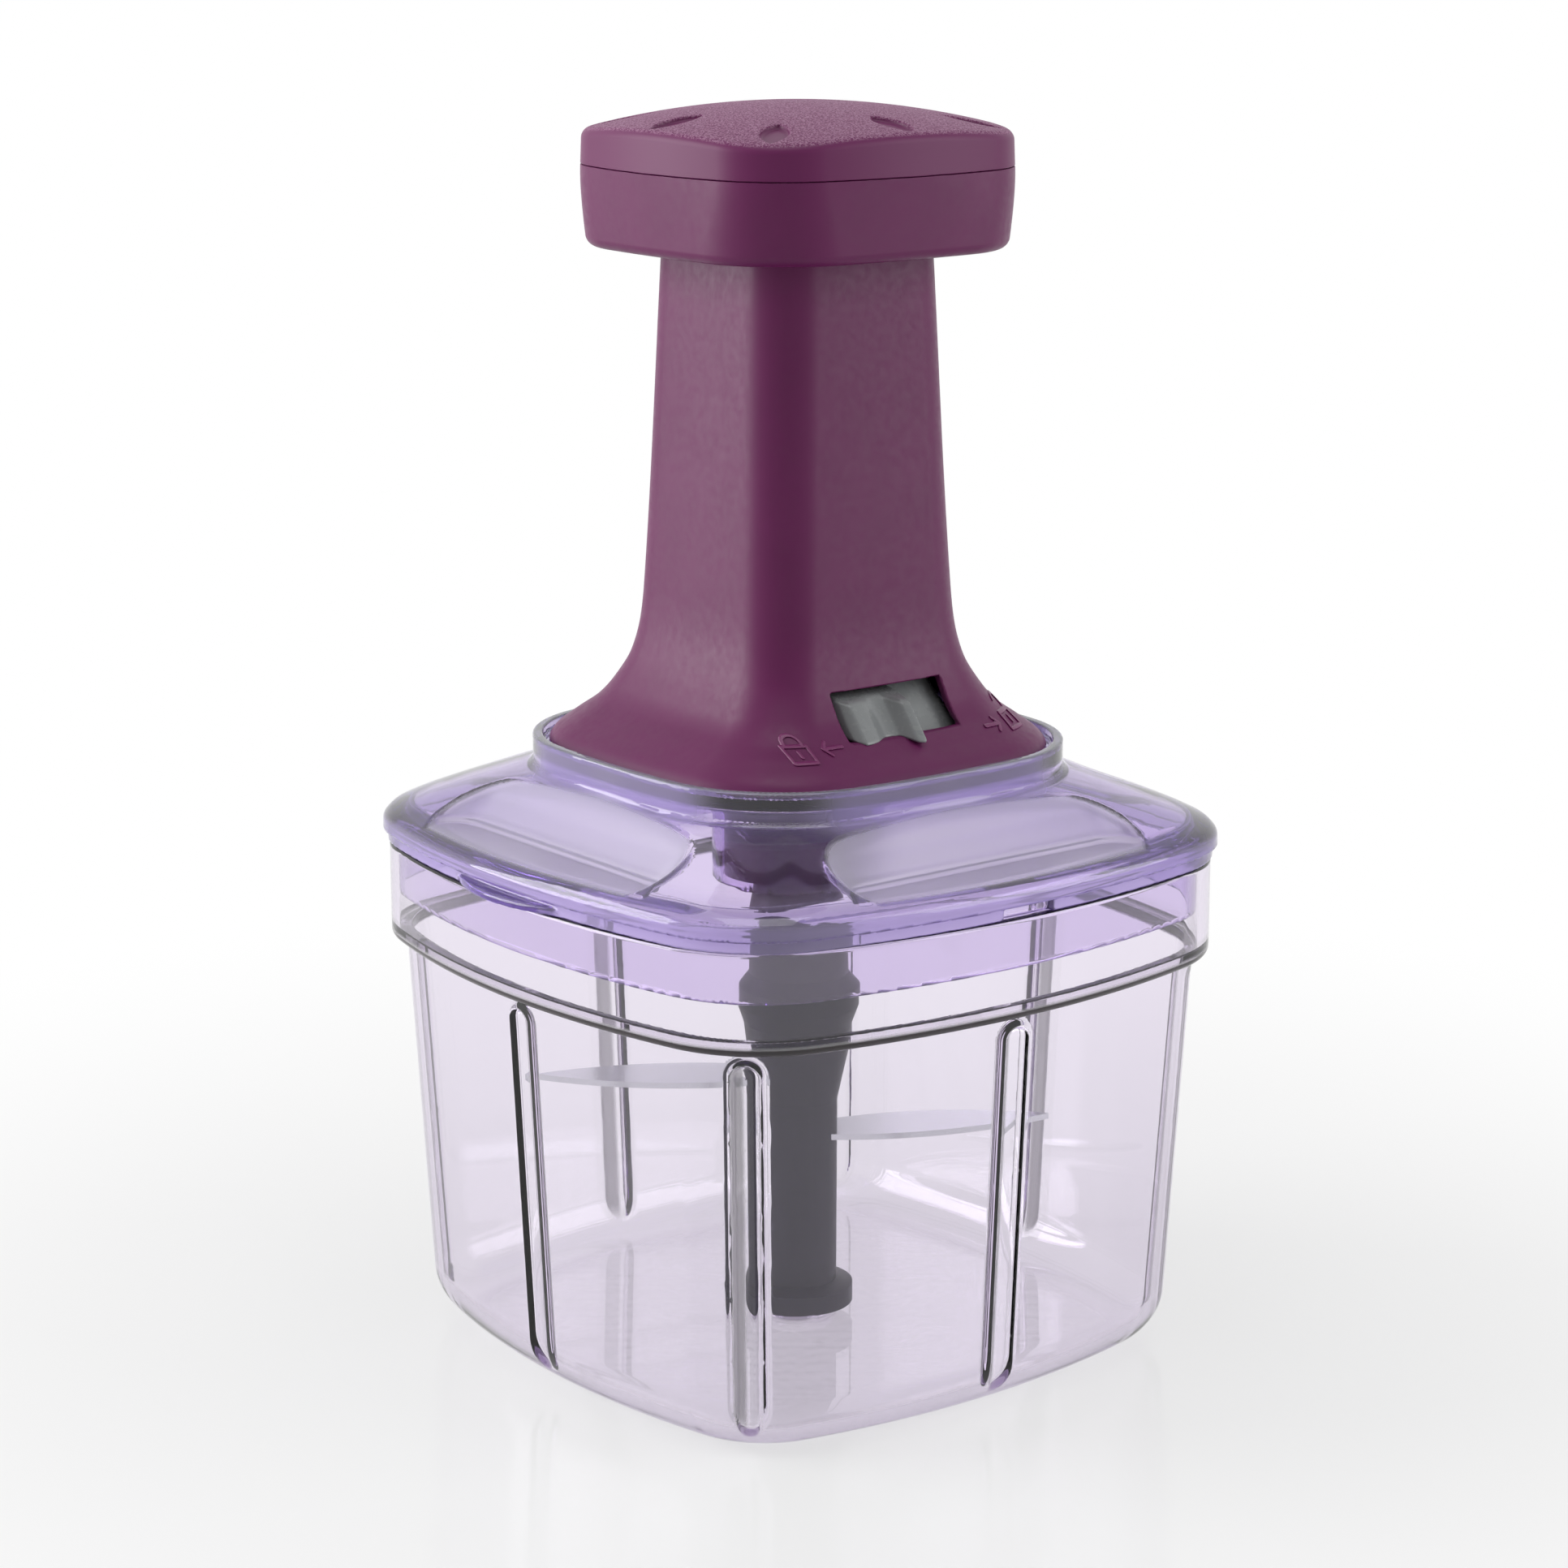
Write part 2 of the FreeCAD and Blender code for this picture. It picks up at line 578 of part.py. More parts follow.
def make_drive_screw():
    base_top = TRAY_Z + BASE_THICKNESS
    thrust_z = base_top + BUSH_FLANGE + SEAT_GAP / 2
    groove_low = NUT_Z - DRIVE_GROOVE_R
    body = cylinder(DRIVE_R, thrust_z, DRIVE_TOP_Z)
    grooves = []
    for start in range(DRIVE_STARTS):
        phase = 2 * math.pi * start / DRIVE_STARTS
        z_end = DRIVE_TOP_Z + 2 * DRIVE_GROOVE_R
        path = helix_path(DRIVE_R, DRIVE_LEAD, phase, nut_mid_z(), groove_low, z_end)
        begin = helix_point(DRIVE_R, DRIVE_LEAD, phase, nut_mid_z(), groove_low)
        heading = helix_heading(DRIVE_R, DRIVE_LEAD, phase, nut_mid_z(), groove_low)
        grooves.append(wire_along(path, DRIVE_GROOVE_R, begin, heading))
    body = body.cut(grooves)
    journal = cylinder(JOURNAL_R, dog_top_z(), thrust_z + CUT_OVER)
    flange = cylinder(THRUST_R, thrust_z, thrust_z + THRUST_HEIGHT)
    stud = cylinder(JOURNAL_R / 2, dog_top_z() - DOG_HEIGHT / 2, dog_top_z() + CUT_OVER)
    return body.fuse([journal, flange, stud])


def dog_top_z():
    return WEB_Z - SEAT_GAP


def hexagon(flats, z0, z1):
    radius = flats / math.sqrt(3)
    points = []
    for corner in range(7):
        angle = math.pi / 3 * corner
        points.append(Vector(radius * math.cos(angle), radius * math.sin(angle), z0))
    return Part.Face(Part.makePolygon(points)).extrude(Vector(0, 0, z1 - z0))


def make_dog():
    top = dog_top_z()
    shoulder = 2.0
    dog = hexagon(DOG_FLATS, top - DOG_HEIGHT, top).fuse(cylinder(THRUST_R, top - shoulder, top))
    return dog.cut(cylinder(JOURNAL_R / 2, top - DOG_HEIGHT / 2, top + CUT_OVER))


def spring_low_z():
    return TRAY_Z + BASE_THICKNESS + SPRING_SEAT


def make_spring():
    z0 = spring_low_z() + SPRING_WIRE_R
    z1 = NUT_Z - SPRING_WIRE_R
    lead = (z1 - z0) / SPRING_TURNS
    print("spring pitch", round(lead, 3), "least gap", round(lead - 2 * SPRING_WIRE_R, 3))
    path = helix_path(SPRING_R, lead, 0.0, z0, z0, z1)
    begin = helix_point(SPRING_R, lead, 0.0, z0, z0)
    return wire_along(path, SPRING_WIRE_R, begin, helix_heading(SPRING_R, lead, 0.0, z0, z0))


def stem_half():
    """Outside half width of the stem: it slides in the tower's top opening."""
    return TOWER_TOP_HALF - TOWER_WALL - FIT_GAP


def stem_prism(offset, z0, z1):
    corner = TOWER_TOP_CORNER_R - TOWER_WALL - FIT_GAP
    side = TOWER_SIDE_R - TOWER_WALL - FIT_GAP
    return prism(stem_half() - offset, side - offset, corner - offset, z0, z1)


def stem_foot_half():
    """Half width of the stem's foot, which meets the tower's taper at the end of the stroke."""
    share = (STEM_BOTTOM_Z + STEM_FOOT + STROKE - FLARE_LEVELS[0]) / (TOWER_TOP_Z - FLARE_LEVELS[0])
    inside = FLARE_HALVES[0] + (TOWER_TOP_HALF - FLARE_HALVES[0]) * share - TOWER_WALL
    return inside - SHAFT_GAP


def square_plate(half, corner, z0, z1):
    return prism(half, TOWER_SIDE_R, corner, z0, z1)


def cap_screw_places():
    return [(CAP_SCREW_PLACE, 0), (-CAP_SCREW_PLACE, 0), (0, CAP_SCREW_PLACE), (0, -CAP_SCREW_PLACE)]


def make_stem():
    flange_bottom = CAP_FLOOR_Z + CAP_FLOOR
    flange_top = flange_bottom + STEM_FLANGE
    stem = stem_prism(0.0, STEM_BOTTOM_Z, flange_top)
    foot_corner = TOWER_TOP_CORNER_R - TOWER_WALL
    stem = stem.fuse(square_plate(stem_foot_half(), foot_corner, STEM_BOTTOM_Z, STEM_BOTTOM_Z + STEM_FOOT))
    stem = stem.fuse(square_plate(STEM_FLANGE_HALF, CAP_SEAM_CORNER_R - CAP_WALL, flange_bottom, flange_top))
    stem = stem.cut(stem_prism(STEM_WALL, STEM_BOTTOM_Z - CUT_OVER, flange_top + CUT_OVER))
    catch_x = KNOB_LEFT + TONGUE_FROM_KNOB
    catch = box(catch_x - 1.0, catch_x + TONGUE_WIDTH + 1.0, -stem_half() - CUT_OVER,
                -stem_half() + STEM_WALL / 2, TONGUE_Z - 1.0, TONGUE_Z + TONGUE_HEIGHT + 1.0)
    stem = stem.cut(catch)
    for x, y in cap_screw_places():
        stem = stem.cut(cylinder(SCREW_R, flange_bottom - CUT_OVER, flange_top + CUT_OVER, x, y))
    return stem.removeSplitter()


def make_nut():
    nut = stem_prism(STEM_WALL, NUT_Z, NUT_Z + NUT_HEIGHT)
    nut = nut.cut(cylinder(DRIVE_R + FIT_GAP, NUT_Z - CUT_OVER, NUT_Z + NUT_HEIGHT + CUT_OVER))
    for start in range(DRIVE_STARTS):
        nut = nut.cut(turned(nut_pin(), 360 * start / DRIVE_STARTS))
    return nut


def nut_pin():
    """Round-nosed pin that rides in a groove of the drive screw."""
    nose = DRIVE_R - 0.2
    pin = Part.makeCylinder(NUT_PIN_R, NUT_PIN_REACH - nose, Vector(nose, 0, nut_mid_z()), Vector(1, 0, 0))
    return pin.fuse(Part.makeSphere(NUT_PIN_R, Vector(nose, 0, nut_mid_z()))).removeSplitter()


def cap_section(z, offset):
    share = (z - CAP_BOTTOM_Z) / (CAP_SEAM_Z - CAP_BOTTOM_Z)
    half = CAP_BOTTOM_HALF + (CAP_SEAM_HALF - CAP_BOTTOM_HALF) * share
    side = CAP_BOTTOM_SIDE_R + (CAP_SEAM_SIDE_R - CAP_BOTTOM_SIDE_R) * share
    corner = CAP_BOTTOM_CORNER_R + (CAP_SEAM_CORNER_R - CAP_BOTTOM_CORNER_R) * share
    return outline(half - offset, side - offset, corner - offset, z)


def make_cap_cup():
    outer = Part.makeLoft([cap_section(CAP_BOTTOM_Z, 0.0), cap_section(CAP_SEAM_Z, 0.0)], True, True)
    outer = outer.makeFillet(CAP_BOTTOM_FILLET, low_edges(outer, CAP_BOTTOM_Z))
    inner = Part.makeLoft([cap_section(CAP_FLOOR_Z + CAP_FLOOR, CAP_WALL),
                           cap_section(CAP_SEAM_Z + CUT_OVER, CAP_WALL)], True, True)
    recess = Part.makeLoft([cap_section(CAP_BOTTOM_Z - CUT_OVER, CAP_WALL),
                            cap_section(CAP_FLOOR_Z, CAP_WALL)], True, True)
    cup = outer.cut([inner, recess])
    for x, y in cap_screw_places():
        cup = cup.fuse(cylinder(2 * SCREW_R, CAP_BOTTOM_Z, CAP_FLOOR_Z + CAP_FLOOR, x, y))
        cup = cup.cut(cylinder(SCREW_R, CAP_BOTTOM_Z + CUT_OVER / 2, CAP_FLOOR_Z + 2 * CAP_FLOOR, x, y))
    cup = cup.cut(stem_prism(-SHAFT_GAP, CAP_BOTTOM_Z - CUT_OVER, CAP_SEAM_Z))
    return cup.removeSplitter()


def cap_shell(offset, z0):
    """Solid under the cap's dome, between the seam and a sphere."""
    side = CAP_SEAM_SIDE_R - offset
    corner = CAP_SEAM_CORNER_R - offset
    wires = [outline(CAP_SEAM_HALF - offset, side, corner, z0),
             outline(CAP_SHOULDER_HALF - offset, side, corner, CAP_TOP_Z)]
    block = Part.makeLoft(wires, True, True)
    ball = Part.makeSphere(CAP_DOME_R - offset, Vector(0, 0, CAP_TOP_Z - CAP_DOME_R))
    return block.common(ball)


def leaf(number):
    """Curved round cutter that leaves a pointed leaf in the dome."""
    radius = LEAF_MID_RADIUS if number % 2 == 0 else LEAF_CORNER_RADIUS
    dome_z = CAP_TOP_Z - CAP_DOME_R + math.sqrt(CAP_DOME_R ** 2 - radius ** 2)
    lean = math.asin(radius / CAP_DOME_R)
    major = LEAF_RADIUS
    centre = Vector(0, 0, major + LEAF_TUBE_R - LEAF_DEPTH)
    ring = Part.makeTorus(major, LEAF_TUBE_R, centre, Vector(1, 0, 0))
    ring.rotate(Vector(0, 0, 0), Vector(1, 0, 0), math.degrees(lean))
    ring.translate(Vector(0, -radius, dome_z))
    return turned(ring, 45 * number)


def make_cap_top():
    top = cap_shell(0.0, CAP_SEAM_Z)
    soft = [edge for edge in top.Edges if edge.BoundBox.ZMin > CAP_SEAM_Z + 2]
    top = top.makeFillet(CAP_SHOULDER_FILLET, soft)
    top = top.cut(cap_shell(CAP_WALL, CAP_SEAM_Z - CUT_OVER))
    lip_out = CAP_WALL + SEAT_GAP
    lip_in = lip_out + LID_WALL
    lip = Part.makeLoft([cap_section(CAP_FLOOR_Z + CAP_FLOOR, lip_out),
                         cap_section(CAP_SEAM_Z + CUT_OVER, lip_out)], True, True)
    lip = lip.common(box(-CAP_SEAM_HALF, CAP_SEAM_HALF, -CAP_SEAM_HALF, CAP_SEAM_HALF,
                         CAP_SEAM_Z - CAP_LIP, CAP_SEAM_Z))
    shoulder = prism(CAP_SEAM_HALF - CAP_WALL / 2, CAP_SEAM_SIDE_R - CAP_WALL / 2,
                     CAP_SEAM_CORNER_R - CAP_WALL / 2, CAP_SEAM_Z, CAP_SEAM_Z + LID_WALL)
    hole = prism(CAP_SEAM_HALF - lip_in, CAP_SEAM_SIDE_R - lip_in, CAP_SEAM_CORNER_R - lip_in,
                 CAP_SEAM_Z - CAP_LIP - CUT_OVER, CAP_SEAM_Z + LID_WALL + CUT_OVER)
    top = top.fuse(lip.fuse(shoulder).cut(hole))
    return top.cut([leaf(number) for number in range(8)]).removeSplitter()


def slope_point(distance, out):
    """Y and Z of a point on the slider's slope: distance down it, out from its face."""
    y = SLIDER_TOP_Y - distance * math.cos(SLIDER_SLOPE) - out * math.sin(SLIDER_SLOPE)
    z = SLIDER_TOP_Z - distance * math.sin(SLIDER_SLOPE) + out * math.cos(SLIDER_SLOPE)
    return y, z


def slope_box(x0, x1, d0, d1, out0, out1):
    """Block on the slider's slope."""
    corners = [slope_point(d0, out0), slope_point(d1, out0), slope_point(d1, out1), slope_point(d0, out1)]
    points = [Vector(x0, y, z) for y, z in corners]
    return Part.Face(Part.makePolygon(points + [points[0]])).extrude(Vector(x1 - x0, 0, 0))


def window_drop():
    """Length down the slope of the window's height."""
    return (WINDOW_TOP_Z - WINDOW_BOTTOM_Z) / math.sin(SLIDER_SLOPE)


def knob():
    """Thumb grip: a low hump, a valley and a tall ridge across the travel."""
    d0 = (SLIDER_TOP_Z - WINDOW_TOP_Z + KNOB_MARGIN) / math.sin(SLIDER_SLOPE)
    length = window_drop() - 2 * KNOB_MARGIN / math.sin(SLIDER_SLOPE)
    foot_y, foot_z = slope_point(d0, 0.0)
    points = []
    for along, out in KNOB_HEIGHTS:
        points.append(Vector(KNOB_LEFT + along, foot_y - out, foot_z - out * KNOB_DROOP))
    curve = Part.BSplineCurve()
    curve.interpolate(points)
    sunk = SLIDER_THICKNESS / 2
    ends = []
    for along in (KNOB_HEIGHTS[-1][0], KNOB_HEIGHTS[0][0]):
        ends.append(Vector(KNOB_LEFT + along, foot_y + sunk, foot_z + sunk * KNOB_DROOP))
    edges = [curve.toShape(), Part.LineSegment(points[-1], ends[0]).toShape(),
             Part.LineSegment(ends[0], ends[1]).toShape(), Part.LineSegment(ends[1], points[0]).toShape()]
    down = Vector(0, -length * math.cos(SLIDER_SLOPE), -length * math.sin(SLIDER_SLOPE))
    return Part.Face(Part.Wire(edges)).extrude(down)


def slider_height_span():
    top = (SLIDER_TOP_Z - WINDOW_TOP_Z) / math.sin(SLIDER_SLOPE)
    return top - SLIDER_TOP_OVERLAP, top + window_drop() + SLIDER_OVERLAP


def make_slider():
    d0, d1 = slider_height_span()
    plate = slope_box(-WINDOW_HALF_LENGTH - SLIDER_TRAVEL, WINDOW_HALF_LENGTH, d0, d1, -SLIDER_THICKNESS, 0.0)
    room = tower_flare(TOWER_WALL + FIT_GAP)
    plate = plate.common(room)
    room.translate(Vector(-SLIDER_TRAVEL, 0, 0))
    plate = plate.common(room)
    tongue_x = KNOB_LEFT + TONGUE_FROM_KNOB
    root_y = SLIDER_TOP_Y + SLIDER_THICKNESS / 2
    tongue = box(tongue_x, tongue_x + TONGUE_WIDTH, root_y - 1.0, -stem_foot_half() - 2 * SEAT_GAP,
                 TONGUE_Z, TONGUE_Z + TONGUE_HEIGHT)
    return plate.fuse([knob(), tongue])


def keeper_screw_places():
    return [(-KEEPER_HALF_LENGTH + 4.0, KEEPER_SCREW_Y), (KEEPER_HALF_LENGTH - 4.0, KEEPER_SCREW_Y)]


def make_keeper():
    """Bracket on the base plate that holds the slider against the tower's wall."""
    base_top = TRAY_Z + BASE_THICKNESS
    d0, d1 = slider_height_span()
    back = -SLIDER_THICKNESS - SEAT_GAP
    length = KEEPER_HALF_LENGTH
    wall = slope_box(-length, length, d1 - 7.0, d1 + 4.0, back - KEEPER_THICKNESS, back)
    ledge = slope_box(-length, length, d1 + SEAT_GAP, d1 + 4.0, back, back + KEEPER_THICKNESS)
    ledge_y = slope_point(d1, back)[0]
    foot = box(-KEEPER_HALF_LENGTH, KEEPER_HALF_LENGTH, ledge_y - 1.0, KEEPER_SCREW_Y + 3.4,
               base_top, base_top + KEEPER_THICKNESS)
    above_base = box(-TOWER_FOOT_HALF, TOWER_FOOT_HALF, -TOWER_FOOT_HALF, 0, base_top, WINDOW_TOP_Z)
    keeper = wall.fuse([ledge, foot]).common(above_base)
    for x, y in keeper_screw_places():
        keeper = keeper.cut(cylinder(SCREW_R, base_top - CUT_OVER, base_top + 2 * KEEPER_THICKNESS, x, y))
        keeper = keeper.cut(cylinder(SCREW_HEAD_R + FIT_GAP, base_top + KEEPER_THICKNESS,
                                     base_top + 4 * KEEPER_THICKNESS, x, y))
    return keeper.removeSplitter()


def short_screw(x, y):
    """Screw that holds the slider's bracket to the base plate."""
    base_top = TRAY_Z + BASE_THICKNESS
    top = base_top + KEEPER_THICKNESS
    head = cylinder(SCREW_HEAD_R, top, top + SCREW_HEAD, x, y)
    return head.fuse(cylinder(SCREW_R, base_top - BASE_THICKNESS / 2 + SEAT_GAP, top, x, y))


def make_spindle(blades):
    points = [Vector(r, 0, z) for r, z in SPINDLE_PROFILE]
    points = [Vector(0, 0, SPINDLE_TOP_Z)] + points + [Vector(0, 0, SPINDLE_BOTTOM_Z)]
    face = Part.Face(Part.makePolygon(points + [points[0]]))
    spindle = face.revolve(Vector(0, 0, 0), Vector(0, 0, 1), 360)
    socket = hexagon(DOG_FLATS + 2 * DOG_GAP, SPINDLE_TOP_Z - SOCKET_DEPTH, SPINDLE_TOP_Z + CUT_OVER)
    bush_r = PIN_R + SHAFT_GAP + SPINDLE_BUSH_WALL
    bore = cylinder(bush_r, SPINDLE_BOTTOM_Z - CUT_OVER, PIN_TOP_Z + CUT_OVER)
    return spindle.cut([socket, bore] + blades)


def make_spindle_bush():
    bush_r = PIN_R + SHAFT_GAP + SPINDLE_BUSH_WALL
    return tube(bush_r, PIN_R + SHAFT_GAP, SPINDLE_BOTTOM_Z, PIN_TOP_Z + CUT_OVER)


def make_blade(z, heading):
    """Curved blade, sharp on its leading edge, lying flat at height z."""
    w = BLADE_WIDTH
    tip = Vector(BLADE_REACH, 0.10 * BLADE_REACH, 0)
    back = Part.Arc(Vector(BLADE_ROOT, w * 0.42, 0), Vector(0.58 * BLADE_REACH, w * 0.82, 0), tip).toShape()
    edge = Part.Arc(tip, Vector(0.66 * BLADE_REACH, -w * 0.22, 0), Vector(BLADE_ROOT, -w * 0.42, 0)).toShape()
    root = Part.LineSegment(Vector(BLADE_ROOT, -w * 0.42, 0), Vector(BLADE_ROOT, w * 0.42, 0)).toShape()
    blade = Part.Face(Part.Wire([back, edge, root])).extrude(Vector(0, 0, BLADE_THICKNESS))
    blade.translate(Vector(0, 0, z - BLADE_THICKNESS / 2))
    return turned(blade, heading)


os.makedirs("parts", exist_ok=True)

save("bowl", make_bowl())
save("bowl_pivot_pin", make_pivot_pin())
save("lid", make_lid())
save("tower_shell", make_tower())
save("base_plate", make_base())
save("base_screws", *[screw(TRAY_Z, x, y, True) for x, y in tower_boss_places()])
save("screw_bush", make_bush())
save("spring_seat", tube(SPRING_SEAT_OUTER_R, SPRING_SEAT_INNER_R, TRAY_Z + BASE_THICKNESS, spring_low_z()))
save("return_spring", make_spring())
save("drive_screw", make_drive_screw())
save("drive_dog", make_dog())
save("push_stem", make_stem())
save("drive_nut", make_nut())
save("nut_pins", *[turned(nut_pin(), 360 * start / DRIVE_STARTS) for start in range(DRIVE_STARTS)])
save("cap_cup", make_cap_cup())
save("cap_top", make_cap_top())
stem_flange_top = CAP_FLOOR_Z + CAP_FLOOR + STEM_FLANGE
save("cap_screws", *[screw(stem_flange_top + SCREW_HEAD, x, y, False) for x, y in cap_screw_places()])
save("lock_slider", make_slider())
save("slider_keeper", make_keeper())
save("keeper_screws", *[short_screw(x, y) for x, y in keeper_screw_places()])
blade_solids = [make_blade(z, heading) for _, z, heading in BLADES]
for (blade_name, _, _), blade_solid in zip(BLADES, blade_solids):
    save(blade_name, blade_solid)
save("blade_spindle", make_spindle(blade_solids))
save("spindle_bush", make_spindle_bush())
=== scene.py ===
import math

import bpy
import numpy as np
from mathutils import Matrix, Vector


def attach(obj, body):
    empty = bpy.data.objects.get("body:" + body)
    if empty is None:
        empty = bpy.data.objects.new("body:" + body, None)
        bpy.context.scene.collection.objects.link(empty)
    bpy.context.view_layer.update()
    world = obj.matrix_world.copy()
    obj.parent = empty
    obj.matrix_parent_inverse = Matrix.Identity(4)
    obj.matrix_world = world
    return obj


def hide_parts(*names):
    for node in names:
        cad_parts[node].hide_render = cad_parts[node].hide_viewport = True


# Plunger food chopper, pressed down and locked. The frame has +Z up, its origin at the middle of the
# bowl's foot, the lock slider on the -Y side and the lid's thumb tab on the -X side.
# Shapes are worked out in millimetres and made in metres.

MM = 0.001

# Camera, solved from the outlines in the photograph
CAMERA_AZIMUTH = math.radians(-38.03)
CAMERA_ELEVATION = math.radians(13.41)
CAMERA_DISTANCE = 0.79712
CAMERA_TARGET = Vector((0, 0, 0.11273))
CAMERA_LENS = 92.62
CAMERA_SENSOR = 36.0
CAMERA_SHIFT = (-0.00823, -0.00119)

ROOT_TWO = math.sqrt(2)
EIGHTH_TURN = math.pi / 4

# Step for slopes of curves, least steepness that settling divides by, and a stand-in for a length of 0
SLOPE_STEP = 0.1
LEAST_STEEPNESS = 0.05
TINY = 1e-9

# How far shapes reach into or past each other where they join
OVERLAP = 1.0

# Rounds of edges that several pieces share
FINE_ROUND = 0.3
EDGE_ROUND = 0.4
SOFT_ROUND = 0.5
WIDE_ROUND = 0.8

# Square outlines: half width, radius of the bowed sides, radius of the corners
FLANGE = (70.9, 208.0, 26.5)
NECK = (46.3, 197.0, 28.8)
BAND = (70.3, 188.0, 26.5)
BOWL_SIDE_R = 180.0
BOWL_CORNER_R = 24.0

# Bowl
BOWL_FOOT_HALF = 63.2
BOWL_TOP_HALF = 67.5
BOWL_WALL = 2.4
BOWL_FLOOR = 2.6
BOWL_FOOT_ROUND = 11.0
BAND_WALL = 2.2
BAND_BOTTOM_Z = 80.8
BAND_ROUND = 1.5
RIM_ROUND = 0.7
RIM_INNER_ROUND = 0.6
LEDGE_Z = 83.2
RIM_Z = 100.3
FLUTE_R = 2.6
FLUTE_PROUD = 0.4
FLUTE_WALL = 2.0
FLUTE_TOP_Z = 78.3
FLUTE_INNER_ROUND = 0.7
FLUTE_EDGE_ROUND = 0.35
PIN_R = 3.0
PIN_BOSS_R = 7.0
PIN_BOSS_TOP_Z = 5.0
PIN_HOLE_Z = 1.0
PIN_BOSS_ROUND = 1.0
PIN_HOLE_ROUND = 0.2

# Painted shade on the bowl: dark lines at the step's round edge and on one flank of each flute, where the
# clear plastic looks dark through refraction. Where each begins and where it is full, outwards, upwards and
# across
STEP_SHADE_OUT = (-3.2, -2.4)
STEP_SHADE_FOOT_Z = (BAND_BOTTOM_Z - 0.5, BAND_BOTTOM_Z - 0.2)
STEP_SHADE_TOP_Z = (BAND_BOTTOM_Z + 1.5, BAND_BOTTOM_Z + 2.0)
FLUTE_SHADE_DEPTH = (0.1, 0.4)
FLUTE_SHADE_ACROSS = (0.2, 0.9)
FLUTE_SHADE_FOOT_Z = (4.0, 9.0)
FLUTE_SHADE_SHARE = 0.55
# Turn that picks which flank of each flute takes the painted shade
FLUTE_SHADE_TURN = 0.9

# Lid
LID_WALL = 2.0
STRIP_INSET = 1.0
FLANGE_Z = 102.7
SKIRT_INSET = 2.6
SKIRT_BOTTOM_Z = 90.2
NECK_RIM_Z = 122.9
TRAY_Z = 121.2
COLLAR_BOTTOM_Z = 93.0
COLLAR_BORE_R = 15.1
DOME_RISES = (0.0, 2.1, 3.8, 5.3, 7.3, 9.8, 12.2, 14.6)
DOME_HALVES = (70.9, 70.9, 69.9, 67.3, 62.8, 56.8, 51.0, 45.2)
SCOOP_FLOOR_Z = 107.5
SCOOP_RISES = (0.0, 1.2, 4.5, 11.0, 17.0)
SCOOP_REACHES = (57.8, 55.6, 51.6, 46.6, 46.6)
SCOOP_HALVES = (33.5, 34.8, 36.4, 38.2, 39.0)
SCOOP_CORNERS = (5.0, 6.5, 8.0, 10.0, 11.0)
TAB_HALF_LENGTH = 19.0
TAB_TIP = 73.3
TAB_ROOT = 67.9
TAB_LEVELS = (RIM_Z + 0.1, RIM_Z + 1.7)
NOTCH_HALF = 6.0
NOTCH_Y = (-90.0, -67.9)
NECK_FOOT_ROUND = 1.5
SCOOP_FOOT_ROUND = 1.2
SKIRT_ROUND = 0.6

# Painted parts of the lid: where each begins and where it is full, outwards or upwards
FROST_OUT = (0.1, 0.5)
# Painted light: the flange's round edge, a faint band over the lid's outer part and the neck wall are
# painted lilac. This stands in for light carried through the clear plastic, with less on the neck towards
# its corners
EDGE_LIGHT_OUT = (-3.2, -2.2)
EDGE_LIGHT_FOOT_Z = (RIM_Z - 0.7, RIM_Z - 0.1)
EDGE_LIGHT_TOP_Z = (104.6, 106.6)
EDGE_LIGHT_SHARE = 0.8
RING_LIGHT_OUT = (-10.0, -6.0)
RING_LIGHT_Z = (RIM_Z, RIM_Z + 1.0)
RING_LIGHT_SHARE = 0.15
NECK_LIGHT_Z = (114.5, 116.5)
NECK_LIGHT_CORNER = (22.0, 32.0)
NECK_LIGHT_SHARE = 0.85
NECK_LIGHT_CORNER_LESS = 0.78
# Painted shade: deep violet under the thumb tab and along the strip under the flange's edge
SHADE_UNDER_TAB_OUT = (0.2, 0.6)
SHADE_UNDER_TAB_TOP_Z = (RIM_Z + 1.0, RIM_Z + 1.4)
SHADE_UNDER_EDGE_OUT = (-1.0, -0.3)
SHADE_UNDER_EDGE_TOP_Z = (FLANGE_Z, FLANGE_Z + 0.5)
SHADE_UNDER_EDGE_FOOT_Z = (RIM_Z, RIM_Z + 0.3)
SHADE_UNDER_EDGE_SHARE = 0.5
# Painted reflection: a grey line on the neck's rim, standing in for the side lamps mirrored in its top edge
RIM_REFLECTION_OUT = (-2.6, -2.2)
RIM_REFLECTION_Z = (NECK_RIM_Z - 0.5, NECK_RIM_Z - 0.15)

# Tower
# The slider keeps clear of the wall's thickness; the skin is thinner, as the stem's foot passes inside it.
TOWER_WALL = 2.4
TOWER_SKIN = 2.0
TOWER_SIDE_R = 234.0
TOWER_LEVELS = (TRAY_Z, 123.5, 126.5, 129.7, 133.0, 139.5, 146.0, 152.5, 220.2)
TOWER_HALVES = (43.2, 41.3, 37.2, 32.9, 30.2, 26.9, 25.5, 24.9, 21.8)
TOWER_CORNERS = (25.7, 22.5, 17.8, 14.4, 12.8, 11.6, 11.2, 11.0, 10.6)
WINDOW_HALF = 13.5
WINDOW_Y = (-60.0, -20.0)
WINDOW_BOTTOM_Z = 128.4
WINDOW_TOP_Z = 137.0
WINDOW_ROUND = 0.35

